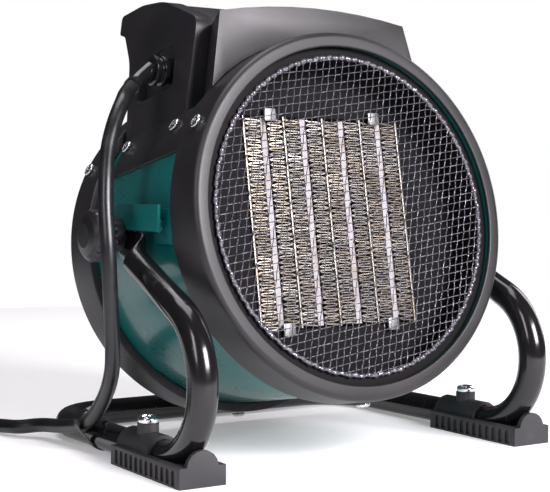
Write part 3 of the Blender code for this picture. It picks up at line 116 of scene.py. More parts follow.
# The heating element, in the drum's own frame.
ELEMENT_HALF = 53.7 * MM
ELEMENT_PITCH = 26.5 * MM
ELEMENT_FRONT = 26.6 * MM
ELEMENT_BACK = 41.6 * MM
ELEMENT_RISE = 59.85 * MM
STRIP = 1.4 * MM
FIN_WIDTH = 10.5 * MM
FIN_MARGIN = 0.8 * MM
FIN_THICKNESS = 0.60 * MM
STONE_WIDTH = 4.1 * MM

# Outlines of turned pieces in millimetres: radius, distance and the rounding of the corner.
PLUG_OUTLINE = (
    (0, 0.9, 0), (5.4, 0.9, 0.5), (7.2, 12, 3), (11.5, 15, 3), (17, 19, 3), (18.5, 22, 2),
    (18.5, 34, 1.2), (0, 34, 0),
)
PIN_OUTLINE = ((0, 0, 0), (2.4, 0, 0), (2.4, 19, 1.4), (0, 19, 0))
DIAL_OUTLINE = (
    (0, 0.4, 0), (11.5, 0.4, 0.4), (11.5, 3.2, 1), (10.2, 4, 0.5), (9.2, 12, 1), (0, 12, 0),
)
STEM_OUTLINE = ((0, -9, 0), (3, -9, 0.3), (3, 1, 0), (0, 1, 0))
KNOB_OUTLINE = (
    (0, 0, 0), (9, 0, 0.6), (9, 6.5, 0.8), (14.7, 7.5, 0.5), (14.7, 17.5, 0.9),
    (13.7, 18.5, 1.2), (11.2, 20.8, 2), (6.7, 22, 2), (0, 22, 0),
)

FLOOR_RADIUS = 0.95
CAMERA_PLACE = (-0.43984, -0.67297, 0.14689)
CAMERA_TURNS = (32.73, 2.252, 0.32)
CAMERA_LENS = 87.78
LIGHT_TINT = (1.0, 0.96, 1.0)
# Colour and strength of the room, as it lights the object and as it is seen.
ROOM_FILL = ((0.93, 0.94, 1.0, 1), 0.06)
ROOM_SEEN = ((1, 1, 1, 1), 1.0)


class HeaterSizes(bpy.types.PropertyGroup):
    """Sizes of the visible pieces that a user may change."""

    tube_radius: FloatProperty(
        name="Tube radius", description="Outer radius of the stand's bent tube",
        default=8 * MM, unit="LENGTH",
    )
    cord_radius: FloatProperty(
        name="Cord radius", description="Outer radius of the mains cord",
        default=4.25 * MM, unit="LENGTH",
    )
    wire_radius: FloatProperty(
        name="Wire radius", description="Radius of the guard's woven wires",
        default=0.28 * MM, unit="LENGTH",
    )
    weave_pitch: FloatProperty(
        name="Weave pitch", description="Distance between neighbouring wires of the guard",
        default=4.6 * MM, unit="LENGTH",
    )
    fin_pitch: FloatProperty(
        name="Fin pitch", description="Distance between neighbouring folds of the element's fins",
        default=1.45 * MM, unit="LENGTH",
    )
    knob_ribs: IntProperty(
        name="Knob ribs", description="Number of ribs round a clamp knob",
        default=22, min=8, max=40,
    )


class HeaterColours(bpy.types.PropertyGroup):
    """Colours of the finishes that a user may change."""

    drum_paint: FloatVectorProperty(
        name="Drum paint", description="Colour of the drum's gloss paint",
        default=(0.003, 0.112, 0.108), subtype="COLOR", min=0, max=1,
    )
    plastic: FloatVectorProperty(
        name="Moulded plastic", description="Colour of the rings, the console and the knobs",
        default=(0.013, 0.0115, 0.0138), subtype="COLOR", min=0, max=1,
    )
    enamel: FloatVectorProperty(
        name="Tube enamel", description="Colour of the stand's gloss enamel",
        default=(0.007, 0.0065, 0.0075), subtype="COLOR", min=0, max=1,
    )
    fins: FloatVectorProperty(
        name="Fins", description="Colour of the heating element's aluminium fins",
        default=(0.40, 0.38, 0.35), subtype="COLOR", min=0, max=1,
    )


def sizes():
    return bpy.context.scene.heater_sizes


def colours():
    return bpy.context.scene.heater_colours


# Shader maths


class Signal:
    """A shader socket that carries a number, with Python's operators adding Math nodes."""

    def __init__(self, finish, socket):
        self.finish = finish
        self.socket = socket

    def maths(self, operation, first, second):
        values = {0: first, 1: second}
        return self.finish.number("ShaderNodeMath", {"operation": operation}, values)

    def __add__(self, other):
        return self.maths("ADD", self, other)

    def __radd__(self, other):
        return self.maths("ADD", other, self)

    def __sub__(self, other):
        return self.maths("SUBTRACT", self, other)

    def __rsub__(self, other):
        return self.maths("SUBTRACT", other, self)

    def __mul__(self, other):
        return self.maths("MULTIPLY", self, other)

    def __rmul__(self, other):
        return self.maths("MULTIPLY", other, self)

    def above(self, low, high):
        """0 below low and 1 above high, smoothly between them."""
        settings = {"interpolation_type": "SMOOTHSTEP"}
        values = {"Value": self, "From Min": low, "From Max": high}
        return self.finish.number("ShaderNodeMapRange", settings, values)


class Finish:
    """One material's node tree, with one method that adds any node."""

    def __init__(self, name, colour, roughness, metallic=0.0, constants=None):
        self.material = bpy.data.materials.new(name)
        self.material.use_nodes = True
        self.tree = self.material.node_tree
        self.shader = self.tree.nodes["Principled BSDF"]
        self.material.diffuse_color = (*colour, 1)
        self.set("Base Color", (*colour, 1))
        self.set("Roughness", roughness)
        self.set("Metallic", metallic)
        for socket, value in (constants or {}).items():
            self.set(socket, value)

    def set(self, socket, value):
        self.connect(self.shader.inputs[socket], value)

    def connect(self, socket, value):
        if isinstance(value, Signal):
            value = value.socket
        if isinstance(value, bpy.types.NodeSocket):
            self.tree.links.new(value, socket)
        else:
            socket.default_value = value

    def node(self, kind, settings=None, values=None):
        made = self.tree.nodes.new(kind)
        for name, value in (settings or {}).items():
            setattr(made, name, value)
        for key, value in (values or {}).items():
            self.connect(made.inputs[key], value)
        return made

    def number(self, kind, settings=None, values=None, output=0):
        return Signal(self, self.node(kind, settings, values).outputs[output])

    def place(self, scale=(1, 1, 1)):
        """The point on the object, in metres, stretched by scale."""
        found = self.node("ShaderNodeTexCoord").outputs["Object"]
        if scale == (1, 1, 1):
            return found
        values = {"Vector": found, "Scale": scale}
        return self.node("ShaderNodeMapping", None, values).outputs["Vector"]

    def noise(self, scale, detail=2.0, stretch=(1, 1, 1)):
        values = {"Vector": self.place(stretch), "Scale": scale, "Detail": detail}
        return self.number("ShaderNodeTexNoise", None, values)

    def cells(self, scale, output="Distance"):
        values = {"Vector": self.place(), "Scale": scale}
        return self.number("ShaderNodeTexVoronoi", None, values, output)

    def blend(self, share, first, second):
        """A colour share of the way from first to second."""

        def ready(colour):
            return colour if isinstance(colour, bpy.types.NodeSocket) else (*colour, 1)

        values = {0: share, 6: ready(first), 7: ready(second)}
        return self.node("ShaderNodeMix", {"data_type": "RGBA"}, values).outputs[2]

    def finished(self, colour, roughness, height, strength, distance):
        """The material, once its colour, its roughness and a bump of this height vary over it."""
        self.set("Base Color", colour)
        self.set("Roughness", roughness)
        values = {"Height": height, "Strength": strength, "Distance": distance}
        self.set("Normal", self.node("ShaderNodeBump", None, values).outputs["Normal"])
        return self.material


def shade(colour, factor):
    return tuple(min(1.0, channel * factor) for channel in colour)


def gloss_paint(name, colour):
    """Gloss paint under a clear coat: a faint orange peel, slow tone changes and a little dust."""
    coat = {"Coat Weight": 0.3, "Coat Roughness": 0.06, "Specular IOR Level": 0.3}
    made = Finish(name, colour, 0.3, constants=coat)
    tone = made.noise(18, 3).above(0.3, 0.7)
    dust = made.noise(700, 2).above(0.66, 0.80)
    toned = made.blend(tone, shade(colour, 0.88), shade(colour, 1.12))
    dusty = made.blend(dust * 0.10, toned, (0.25, 0.3, 0.3))
    peel = made.noise(420, 1) + made.noise(60, 1) * 1.5
    return made.finished(dusty, 0.26 + tone * 0.06 + dust * 0.15, peel, 0.10, 0.00025)


def gloss_enamel(name, colour):
    """Smooth black enamel: a soft peel, hairline scuffs and slightly duller patches."""
    made = Finish(name, colour, 0.16, constants={"Specular IOR Level": 0.55})
    scuffs = made.noise(260, 3, (1, 1, 0.15)).above(0.62, 0.72)
    patches = made.noise(25, 2).above(0.35, 0.7)
    scuffed = made.blend(scuffs * 0.35, colour, (0.035, 0.034, 0.036))
    roughness = 0.13 + patches * 0.07 + scuffs * 0.12
    return made.finished(scuffed, roughness, made.noise(520, 2), 0.06, 0.0002)


def moulded_plastic(name, colour, roughness=0.42, grain=1.0):
    """Textured moulded plastic: a fine spark grain with slow sheen and tone changes."""
    made = Finish(name, colour, roughness)
    fine = made.noise(2600, 2)
    cells = made.cells(1500)
    slow = made.noise(30, 2).above(0.3, 0.7)
    toned = made.blend(slow, shade(colour, 0.85), shade(colour, 1.2))
    speckled = made.blend(fine.above(0.60, 0.75) * 0.25, toned, shade(colour, 2.2))
    varied = roughness - 0.05 + slow * 0.06 + fine * 0.08
    return made.finished(speckled, varied, fine + cells * 0.6, 0.30 * grain, 0.00012)


def soft_rubber(name, colour, roughness, strength=0.15, specular=0.5):
    """Moulded rubber or a matt black coat: fine pores and a dusty bloom."""
    made = Finish(name, colour, roughness, constants={"Specular IOR Level": specular})
    bloom = made.noise(90, 4).above(0.40, 0.75)
    dusty = made.blend(bloom * 0.5, colour, shade(colour, 2.0))
    varied = roughness - 0.06 + bloom * 0.12
    return made.finished(dusty, varied, made.noise(1800, 2), strength, 0.00015)


def zinc_plate(name):
    """Bright zinc plate: soft bluish blotches, small dull marks and a fine grain."""
    made = Finish(name, (0.72, 0.74, 0.77), 0.22, 1.0)
    blotch = made.noise(340, 3).above(0.35, 0.70)
    marks = made.noise(1500, 2).above(0.60, 0.72)
    toned = made.blend(blotch, (0.62, 0.65, 0.70), (0.83, 0.83, 0.82))
    marked = made.blend(marks * 0.5, toned, (0.30, 0.30, 0.31))
    roughness = 0.16 + blotch * 0.12 + marks * 0.2
    return made.finished(marked, roughness, made.noise(1100, 2), 0.12, 0.0001)


def painted_wire(name, dark, bare_and_glint):
    """Black wire with random patches of bare metal, more metallic and less rough: partly worn
    paint, partly painted glints.
    """
    made = Finish(name, dark, 0.3, 0.6)
    # Bright patches at noise peaks: partly worn paint, partly painted glints.
    worn_and_glinting = made.noise(900, 3).above(0.46, 0.64)
    made.set("Metallic", 0.25 + worn_and_glinting * 0.7)
    thin = made.blend(worn_and_glinting, dark, bare_and_glint)
    return made.finished(thin, 0.38 - worn_and_glinting * 0.14, made.noise(2500, 2), 0.2, 0.0001)


def fin_aluminium(name, colour):
    """Rolled aluminium strip: fine rolling lines, a warm heat tint and scattered dark brown spots.
    """
    made = Finish(name, colour, 0.32, 0.75)
    tint = made.noise(55, 3).above(0.35, 0.65)
    spots = made.noise(800, 3).above(0.55, 0.75)
    toned = made.blend(tint, colour, (colour[0], colour[1] * 0.90, colour[2] * 0.78))
    dusty = made.blend(spots * 0.3, toned, (0.20, 0.16, 0.12))
    rolled = made.noise(300, 2, (1, 1, 12))
    return made.finished(dusty, 0.28 + spots * 0.2, rolled, 0.15, 0.0001)


def fired_ceramic(name, colour):
    """Unglazed ceramic: chalky, with pores and faint stains."""
    made = Finish(name, colour, 0.62)
    stain = made.noise(110, 4).above(0.45, 0.75)
    pores = made.cells(1400).above(0.0, 0.25)
    stained = made.blend(stain, colour, (colour[0] * 0.75, colour[1] * 0.66, colour[2] * 0.55))
    return made.finished(stained, 0.55 + stain * 0.15, pores, 0.25, 0.0001)


def plain_steel(name, colour):
    """Galvanised sheet: large spangle cells with slight changes of tone and gloss."""
    made = Finish(name, colour, 0.42, 0.85)
    spangle = made.cells(160, output="Color")
    fine = made.noise(600, 2)
    toned = made.blend(spangle * 0.6, shade(colour, 0.7), shade(colour, 1.3))
    return made.finished(toned, 0.34 + spangle * 0.12 + fine * 0.08, fine, 0.08, 0.0001)


def pale_floor(name):
    """Smooth pale studio floor."""
    made = Finish(name, (0.86, 0.86, 0.865), 0.6)
    slow = made.noise(3, 2)
    made.set("Base Color", made.blend(slow, (0.85, 0.85, 0.857), (0.88, 0.88, 0.885)))
    made.set("Roughness", 0.75 + slow * 0.1)
    made.set("Emission Color", (1, 1, 1, 1))
    made.set("Emission Strength", 0.25)
    return made.material


FINISHES = {}


def make_finishes():
    chosen = colours()
    paint, plastic = tuple(chosen.drum_paint), tuple(chosen.plastic)
    FINISHES.update(
        drum_paint=gloss_paint("drum_paint_gloss", paint),
        black_plastic=moulded_plastic("black_plastic_grain", plastic),
        knob_plastic=moulded_plastic("knob_plastic", shade(plastic, 0.75), 0.36, 0.6),
        black_enamel=gloss_enamel("black_enamel_gloss", tuple(chosen.enamel)),
        foot_rubber=soft_rubber("foot_rubber_matte", (0.024, 0.023, 0.026), 0.6, 0.3),
        cord_rubber=soft_rubber("cord_rubber_smooth", (0.008, 0.008, 0.009), 0.36),
        bushing_rubber=gloss_enamel("bushing_gloss", (0.008, 0.008, 0.009)),
        zinc=zinc_plate("zinc_plate_bright"),
        # The bright patches of both wire finishes are partly painted glints.
        guard_wire=painted_wire("guard_wire_painted", (0.045, 0.043, 0.050), (0.40, 0.39, 0.44)),
        guard_rim=painted_wire("guard_rim_bare_and_glints", (0.07, 0.068, 0.08), (0.27, 0.26, 0.30)),
        fin_aluminium=fin_aluminium("fin_aluminium_strip", tuple(chosen.fins)),
        ceramic=fired_ceramic("ceramic_chalky", (0.46, 0.44, 0.46)),
        steel=plain_steel("steel_sheet", (0.30, 0.30, 0.31)),
        # Near-black matt coat of the baffle plate and guard carrier, made this dark partly as
        # painted shade; on the sheet inside the drum it is painted shade only.
        dark_steel=soft_rubber("steel_blackened_painted_shade", (0.006, 0.0058, 0.0066), 0.75, 0.1, 0.15),
    )


# Meshes


def drum_place(points):
    """Points (x, depth, height) of the drum's own frame, put where the tilted drum stands."""
    points = np.asarray(points, float)
    along = points[..., 1] - PIVOT_DEPTH
    up = points[..., 2] - PIVOT_RISE
    c, s = math.cos(REST_TILT), math.sin(REST_TILT)
    turned = np.stack([points[..., 0], along * c + up * s, up * c - along * s], axis=-1)
    return turned + PIVOT


def drum_direction(direction):
    """A direction of the drum's own frame, turned as the drum is."""
    return drum_place(np.asarray(direction, float)) - drum_place(np.zeros(3))


def capped(points):
    """The grid with its first and last rows closed to their centres."""
    first = np.broadcast_to(points[0].mean(axis=0), points[0].shape)
    last = np.broadcast_to(points[-1].mean(axis=0), points[-1].shape)
    return np.concatenate([first[None], points, last[None]])


def grid_faces(rows, columns, closed_rows):
    """Corner numbers of the quads of a grid, whose columns join up and whose rows may."""
    i = np.arange(rows if closed_rows else rows - 1)[:, None]
    left = np.arange(columns)[None, :]
    right = (left + 1) % columns
    near, far = i * columns, (i + 1) % rows * columns
    quads = np.stack([near + left, near + right, far + right, far + left], axis=-1)
    return quads.reshape(-1, 4)


def mesh_of(name, grids, closed_rows=False):
    """One mesh from several grids of points, each an array of rows, columns and three."""
    points, quads, count = [], [], 0
    for grid in grids:
        rows, columns = grid.shape[:2]
        quads.append(grid_faces(rows, columns, closed_rows) + count)
        points.append(grid.reshape(-1, 3))
        count += rows * columns
    points, quads = np.concatenate(points), np.concatenate(quads)
    mesh = bpy.data.meshes.new(name)
    mesh.vertices.add(len(points))
    mesh.vertices.foreach_set("co", points.astype(np.float32).ravel())
    mesh.loops.add(quads.size)
    mesh.loops.foreach_set("vertex_index", quads.astype(np.int32).ravel())
    mesh.polygons.add(len(quads))
    mesh.polygons.foreach_set("loop_start", np.arange(0, quads.size, 4, dtype=np.int32))
    mesh.update(calc_edges=True)
    return mesh


def tidy_mesh(mesh):
    """Joins seams and poles and points every face outwards."""
    merge = 0.002 * MM
    bm = bmesh.new()
    bm.from_mesh(mesh)
    bmesh.ops.remove_doubles(bm, verts=bm.verts, dist=merge)
    bmesh.ops.dissolve_degenerate(bm, edges=bm.edges, dist=merge)
    bmesh.ops.recalc_face_normals(bm, faces=bm.faces)
    bm.to_mesh(mesh)
    bm.free()


def linked(name, data):
    """A new object that holds this data, in the scene."""
    obj = bpy.data.objects.new(name, data)
    bpy.context.scene.collection.objects.link(obj)
    return obj


def from_mm(rows):
    """Rows of numbers in millimetres, given in metres."""
    return (np.array(rows) * MM).tolist()


def add_piece(name, grids, finish, body, node=None, angle=32, closed_rows=False):
    """Adds a finished piece made of grids, which rides on a body and may stand for CAD nodes."""
    mesh = mesh_of(name, grids, closed_rows)
    tidy_mesh(mesh)
    mesh.shade_smooth()
    mesh.set_sharp_from_angle(angle=math.radians(angle))
    piece = linked(name, mesh)
    mesh.materials.append(FINISHES[finish])
    if body:
        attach(piece, body)
    if node:
        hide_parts(*([node] if isinstance(node, str) else node))
    return piece


def rounded_profile(corners, steps=5):
    """A closed outline of (u, v, radius) corners, each replaced by an arc of its radius."""
    outline = []
    for i, (u, v, radius) in enumerate(corners):
        here = np.array((u, v))
        before = np.array(corners[i - 1][:2]) - here
        after = np.array(corners[(i + 1) % len(corners)][:2]) - here
        before, after = before / np.linalg.norm(before), after / np.linalg.norm(after)
        half = math.acos(max(-1, min(1, float(before @ after)))) / 2
        if radius == 0:
            outline.append(here[None])
            continue
        middle = (before + after) / np.linalg.norm(before + after)
        centre = here + middle * radius / math.sin(half)
        first = here + before * radius / math.tan(half) - centre
        last = here + after * radius / math.tan(half) - centre
        share = np.linspace(0, 1, steps + 1)[:, None]
        bow = first * (1 - share) + last * share
        outline.append(centre + bow / np.linalg.norm(bow, axis=1, keepdims=True) * radius)
    return np.concatenate(outline)


def turned_about_drum(profile, steps=160):
    """Each (radius, depth), carried round the drum's axis: x = r sin a, height = r cos a."""
    angle = np.arange(steps) * TAU / steps
    radius, depth = profile[:, :1], profile[:, 1:2]
    x, height = radius * np.sin(angle), radius * np.cos(angle)
    return drum_place(np.stack([x, depth + 0 * x, height], axis=-1))


def add_hoop(name, profile, finish, node=None, steps=160):
    """Adds a closed profile of (radius, depth), carried round the drum's axis."""
    grids = [turned_about_drum(profile, steps)]
    add_piece(name, grids, finish, "drum", node, closed_rows=True)


def basis(axis):
    """Three unit vectors, the last of them along the axis."""
    axis = np.asarray(axis, float) / np.linalg.norm(axis)
    guide = np.array((0, 0, 1.0)) if abs(axis[2]) < 0.9 else np.array((1.0, 0, 0))
    side = np.cross(guide, axis)
    side /= np.linalg.norm(side)
    return side, np.cross(axis, side), axis


def turned_about(profile, origin, axis, steps=48, ribs=None):
    """Each (radius, distance) of the profile, carried round an axis through origin.

    With n ribs, the radius of each row is r - depth (1/2 - cos(n a) / 2)^2, with that row's own
    depth.
    """
    side, up, along = basis(axis)
    angle = np.arange(steps) * TAU / steps
    radius = np.repeat(profile[:, :1], steps, axis=1)
    if ribs:
        count, depths = ribs
        wave = 0.5 - 0.5 * np.cos(count * angle)
        radius = radius - depths[:, None] * wave**2
    flat = np.cos(angle)[None, :, None] * side + np.sin(angle)[None, :, None] * up
    return origin + radius[..., None] * flat + profile[:, 1, None, None] * along


def rib_depths(profile, low, high, inside, depth):
    """The depth on the rows of a profile between low and high and beyond inside, all in mm."""
    radius, distance = profile.T / MM
    return np.where((distance > low) & (distance < high) & (radius > inside), depth * MM, 0)


def smooth_through(points, spacing):
    """A centripetal Catmull-Rom curve through the points, read off at even steps along it.

    Between two points it is the pyramid of linear blends over the knots, whose steps are the
    square roots of the distances between the points.
    """
    points = np.asarray(points, float)
    gaps = np.linalg.norm(np.diff(points, axis=0), axis=1) ** 0.5
    knots = np.concatenate([[0], np.cumsum(gaps)])
    padded = np.vstack([2 * points[0] - points[1], points, 2 * points[-1] - points[-2]])
    times = np.concatenate([[-gaps[0]], knots, [knots[-1] + gaps[-1]]])
    share = np.linspace(0, 1, 16, endpoint=False)
    p = [padded[k : k + len(points) - 1, None] for k in range(4)]
    t = [times[k : k + len(points) - 1, None, None] for k in range(4)]
    s = t[1] + (t[2] - t[1]) * share[None, :, None]

    def between(near, far, start, end):
        return near + (far - near) * (s - start) / (end - start)

    a = [between(p[k], p[k + 1], t[k], t[k + 1]) for k in range(3)]
    b = [between(a[k], a[k + 1], t[k], t[k + 2]) for k in range(2)]
    fine = np.vstack([between(b[0], b[1], t[1], t[2]).reshape(-1, 3), points[-1:]])
    return even_steps(fine, spacing)


def even_steps(fine, spacing):
    travelled = np.concatenate([[0], np.cumsum(np.linalg.norm(np.diff(fine, axis=0), axis=1))])
    count = max(2, round(travelled[-1] / spacing))
    marks = np.linspace(0, travelled[-1], count + 1)
    return np.stack([np.interp(marks, travelled, fine[:, k]) for k in range(3)], axis=1)


def swept(path, radius, sides=14, guide=(0.3, 0.2, 1.0)):
    """A round section carried along a path: p + r (cos a u + sin a v), u and v square to the path.

    The first side vector is turned from one point to the next by the least turn that keeps it
    square to the path, so that the section doesn't twist.
    """
    path = np.asarray(path, float)
    ahead = np.gradient(path, axis=0)
    ahead /= np.linalg.norm(ahead, axis=1, keepdims=True)
    side = np.cross(ahead[0], guide)
    sides_along = []
    for direction in ahead:
        side = side - direction * (side @ direction)
        side = side / np.linalg.norm(side)
        sides_along.append(side)
    u = np.array(sides_along)
    v = np.cross(ahead, u)
    angle = np.arange(sides) * TAU / sides
    radius = np.broadcast_to(np.asarray(radius, float), (len(path),))[:, None, None]
    ring = np.cos(angle)[None, :, None] * u[:, None] + np.sin(angle)[None, :, None] * v[:, None]
    return path[:, None] + radius * ring


def softened_copy(name, node, finish, body, width):
    """A merged copy of a CAD node's mesh with its edges rounded, standing for that node."""
    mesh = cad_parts[node].data.copy()
    mesh.materials.clear()
    bm = bmesh.new()
    bm.from_mesh(mesh)
    bmesh.ops.remove_doubles(bm, verts=bm.verts, dist=0.01 * MM)
    bmesh.ops.dissolve_limit(
        bm, angle_limit=math.radians(0.6), verts=bm.verts, edges=bm.edges,
        use_dissolve_boundaries=False,
    )
    bm.to_mesh(mesh)
    bm.free()
    mesh.shade_smooth()
    mesh.set_sharp_from_angle(angle=math.radians(180))
    piece = linked(name, mesh)
    mesh.materials.append(FINISHES[finish])
    bevel = piece.modifiers.new("Rounded edges", "BEVEL")
    bevel.width = width
    bevel.segments = 3
    bevel.limit_method = "ANGLE"
    bevel.angle_limit = math.radians(28)
    bevel.harden_normals = True
    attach(piece, body)
    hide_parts(node)


# Stage


def aim(obj, place, target):
    obj.location = place
    obj.rotation_mode = "QUATERNION"
    obj.rotation_quaternion = (Vector(target) - Vector(place)).to_track_quat("-Z", "Y")


def make_camera():
    """A level view is turned by yaw, then down by pitch, then about its own line by roll."""
    yaw, pitch, roll = (math.radians(degrees) for degrees in CAMERA_TURNS)
    level = math.cos(pitch)
    ahead = Vector((math.sin(yaw) * level, math.cos(yaw) * level, -math.sin(pitch)))
    across = Vector((math.cos(yaw), -math.sin(yaw), 0))
    right = across * math.cos(roll) + across.cross(ahead) * math.sin(roll)
    data = bpy.data.cameras.new("camera")
    data.lens = CAMERA_LENS
    data.sensor_width = 36
    camera = linked("camera", data)
    turn = Matrix((right, right.cross(ahead), -ahead)).transposed().to_4x4()
    camera.matrix_world = Matrix.Translation(CAMERA_PLACE) @ turn
    bpy.context.scene.camera = camera


LIGHTS = {
    # name: place, target, width, height, power
    "left_softbox": ((-1.45, -0.75, 1.0), (0, 0, 0.12), 0.35, 1.0, 9),
    "front_softbox": ((0.36, -1.75, 0.95), (0, 0, 0.14), 0.9, 0.8, 72),
    "top_softbox": ((-0.1, 0.25, 1.6), (0, 0, 0.1), 1.0, 1.0, 13),
    "right_softbox": ((1.5, 0.3, 0.7), (0, 0, 0.1), 0.5, 1.2, 8),
}


def make_lights():
    for name, (place, target, width, height, power) in LIGHTS.items():
        data = bpy.data.lights.new(name, "AREA")
        data.shape = "RECTANGLE"
        data.size = width
        data.size_y = height
        data.energy = power
        data.color = LIGHT_TINT
        aim(linked(name, data), place, target)


def make_world():
    """White where the camera sees it, and a softer grey that lights the object."""
    bpy.context.scene.view_settings.view_transform = "Standard"
    world = bpy.data.worlds.new("pale_room")
    bpy.context.scene.world = world
    world.use_nodes = True
    tree = world.node_tree
    tree.nodes.clear()
    path = tree.nodes.new("ShaderNodeLightPath")
    mix = tree.nodes.new("ShaderNodeMixShader")
    out = tree.nodes.new("ShaderNodeOutputWorld")
    tree.links.new(path.outputs["Is Camera Ray"], mix.inputs[0])
    for place, (colour, strength) in enumerate((ROOM_FILL, ROOM_SEEN), 1):
        background = tree.nodes.new("ShaderNodeBackground")
        background.inputs["Color"].default_value = colour
        background.inputs["Strength"].default_value = strength
        tree.links.new(background.outputs[0], mix.inputs[place])
    tree.links.new(mix.outputs[0], out.inputs["Surface"])


def make_floor():
    """A level disc: x = r cos a, y = r sin a."""
    radius = np.linspace(0, FLOOR_RADIUS, 9)[:, None]
    angle = np.arange(48) * TAU / 48
    flat = np.stack([radius * np.cos(angle), radius * np.sin(angle), 0 * radius * angle], axis=-1)
    mesh = mesh_of("floor", [flat])
    tidy_mesh(mesh)
    mesh.materials.append(pale_floor("floor_pale"))
    linked("floor", mesh)


# Mains cord


def cord_route():
    """Points of the cord from its bushing to its coil, round the coil and on to the plug."""
    exit_point = np.array((-79.15, 22.93, 217.85)) * MM
    beside_knob = np.array((-LEG_X, PIVOT[1], PIVOT[2]))
    at_tie = np.array((-LEG_X, TIE_Y, 0))
    legs = [
        (exit_point, [(0, 0, 0), (-12, -4.6, -8.2), (-22, -14, -14.6), (-30.5, -25.5, -21.2)]),
        (beside_knob, [(-7, -12.2, 61.2), (-13, -17.2, 46.8), (-17, -23.1, 30.5)]),
        (beside_knob, [(-19, -27.3, 14.6), (-20, -31.9, -3.8), (-19, -32.3, -27.7)]),
        (at_tie, [(-17, -46.5, 73.7), (-14, -40.4, 51.4), (-10.6, -22.1, 32.3)]),
        (at_tie, [(-10.4, 0, 16.8), (-12.2, 25, 11.2), (-16.4, 52.5, 8)]),
        (COIL_CENTRE, [(69.5, -35, 6.2), (64, -22.5, 5.4), (58.6, -12, 5)]),
    ]
    lead = np.concatenate([start + np.array(steps) * MM for start, steps in legs])
    steps = [(-47.8, -32.2, 11.6), (-45, -43.6, 9), (-42, -58.3, 8.4), (-40.3, -73.9, 12.5)]
    tail = COIL_CENTRE + np.array([*steps, (-39.2, -87.5, 17), (-38.5, -97.7, 18.5)]) * MM
    return np.concatenate([lead, coil_turns(), tail])


def coil_turns():
    """Three and a bit turns, two beside two: (r cos a, r sin a, z), a diameter between turns.

    The cord winds an outer turn on the floor, an inner turn beside it, an inner turn on top and
    the start of an outer one. Where it changes place it rolls round its neighbour: it keeps one
    diameter away, at an angle that goes from 0 to a quarter turn.
    """
    degrees = np.arange(19, 1270, 12)
    angle = np.radians(degrees)
    inward, climb, outward = (np.clip((degrees - start) / 60, 0, 1) for start in COIL_CHANGES)
    roll_up, roll_out = climb * math.pi / 2, outward * math.pi / 2
    under = COIL_OUTER - COIL_APART * climb
    over = COIL_OUTER - COIL_APART * outward - COIL_APART * np.cos(roll_out)
    radius = np.full(len(degrees), COIL_OUTER) - COIL_APART * inward
    height = np.full(len(degrees), COIL_LOW)
    rolling, last = degrees >= COIL_CHANGES[1], degrees >= COIL_CHANGES[2]
    radius = np.where(rolling, under - COIL_APART * np.cos(roll_up), radius)
    height = np.where(rolling, COIL_LOW + COIL_APART * np.sin(roll_up), height)
    radius = np.where(last, over + COIL_APART * np.sin(roll_out), radius)
    high = COIL_LOW + COIL_APART * np.sin(roll_out) + COIL_APART * np.cos(roll_out)
    height = np.where(last, high, height)
    points = [radius * np.cos(angle), radius * np.sin(angle), height]
    return COIL_CENTRE + np.stack(points, axis=-1)


def make_bushing(route, cord_radius):
    """A grooved collar turned about its own axis, and a sleeve that tapers along the cord."""
    outline = [(r * 9 * MM, share * BUSHING_LENGTH, 0.35 * MM) for r, share in BUSHING_COLLARS]
    profile = rounded_profile([(0, 0, 0), *outline, (0, BUSHING_LENGTH, 0)], 3)
    origin = drum_place((-64.3 * MM, 81 * MM, DRUM_RADIUS))
    collar = turned_about(profile, origin, drum_direction((-1, 0, 0)), 56)
    share = np.linspace(0, 1, 22)
    wall = 0.9 * MM * (1 - 0.6 * share) + 0.18 * MM * np.cos(share * TAU * 5) ** 8
    sleeve = capped(swept(route[:22], cord_radius + wall, 24))
    add_piece("cord_bushing_moulding", [collar, sleeve], "bushing_rubber", "drum", "cord_bushing")


def make_plug(neck, heading):
    """The plug's body and its two pins, turned about level lines from the cord's end."""
    heading = heading * (1, 1, 0)
    heading /= np.linalg.norm(heading)
    profile = rounded_profile(from_mm(PLUG_OUTLINE))
    grip = (18, rib_depths(profile, 18, 32, 12, 0.7))
    body = turned_about(profile, neck, heading, 144, grip)
    plug = add_piece("mains_plug_body", [body], "cord_rubber", "stand", "mains_plug")
    across = np.cross((0, 0, 1), heading)
    profile = rounded_profile(from_mm(PIN_OUTLINE))
    roots = [neck + heading * 34 * MM + across * side * 9.5 * MM for side in (-1, 1)]
    grids = [turned_about(profile, root, heading, 20) for root in roots]
    return plug, add_piece("mains_plug_pins", grids, "zinc", "stand")


def make_cord():
    """One tube along the whole route, its bushing and sleeve, and the plug with its pins."""
    radius = sizes().cord_radius
    fine = smooth_through(cord_route(), 1 * MM)
    path = even_steps(fine[20:], 2 * MM)
    nodes = ["mains_cord", "cord_coil", "cord_tail"]
    tube = [capped(swept(path, radius))]
    cord = add_piece("mains_cord_tube", tube, "cord_rubber", None, nodes)
    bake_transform(cord)
    make_bushing(fine, radius)
    plug, pins = make_plug(path[-1], path[-1] - path[-4])


# Drum


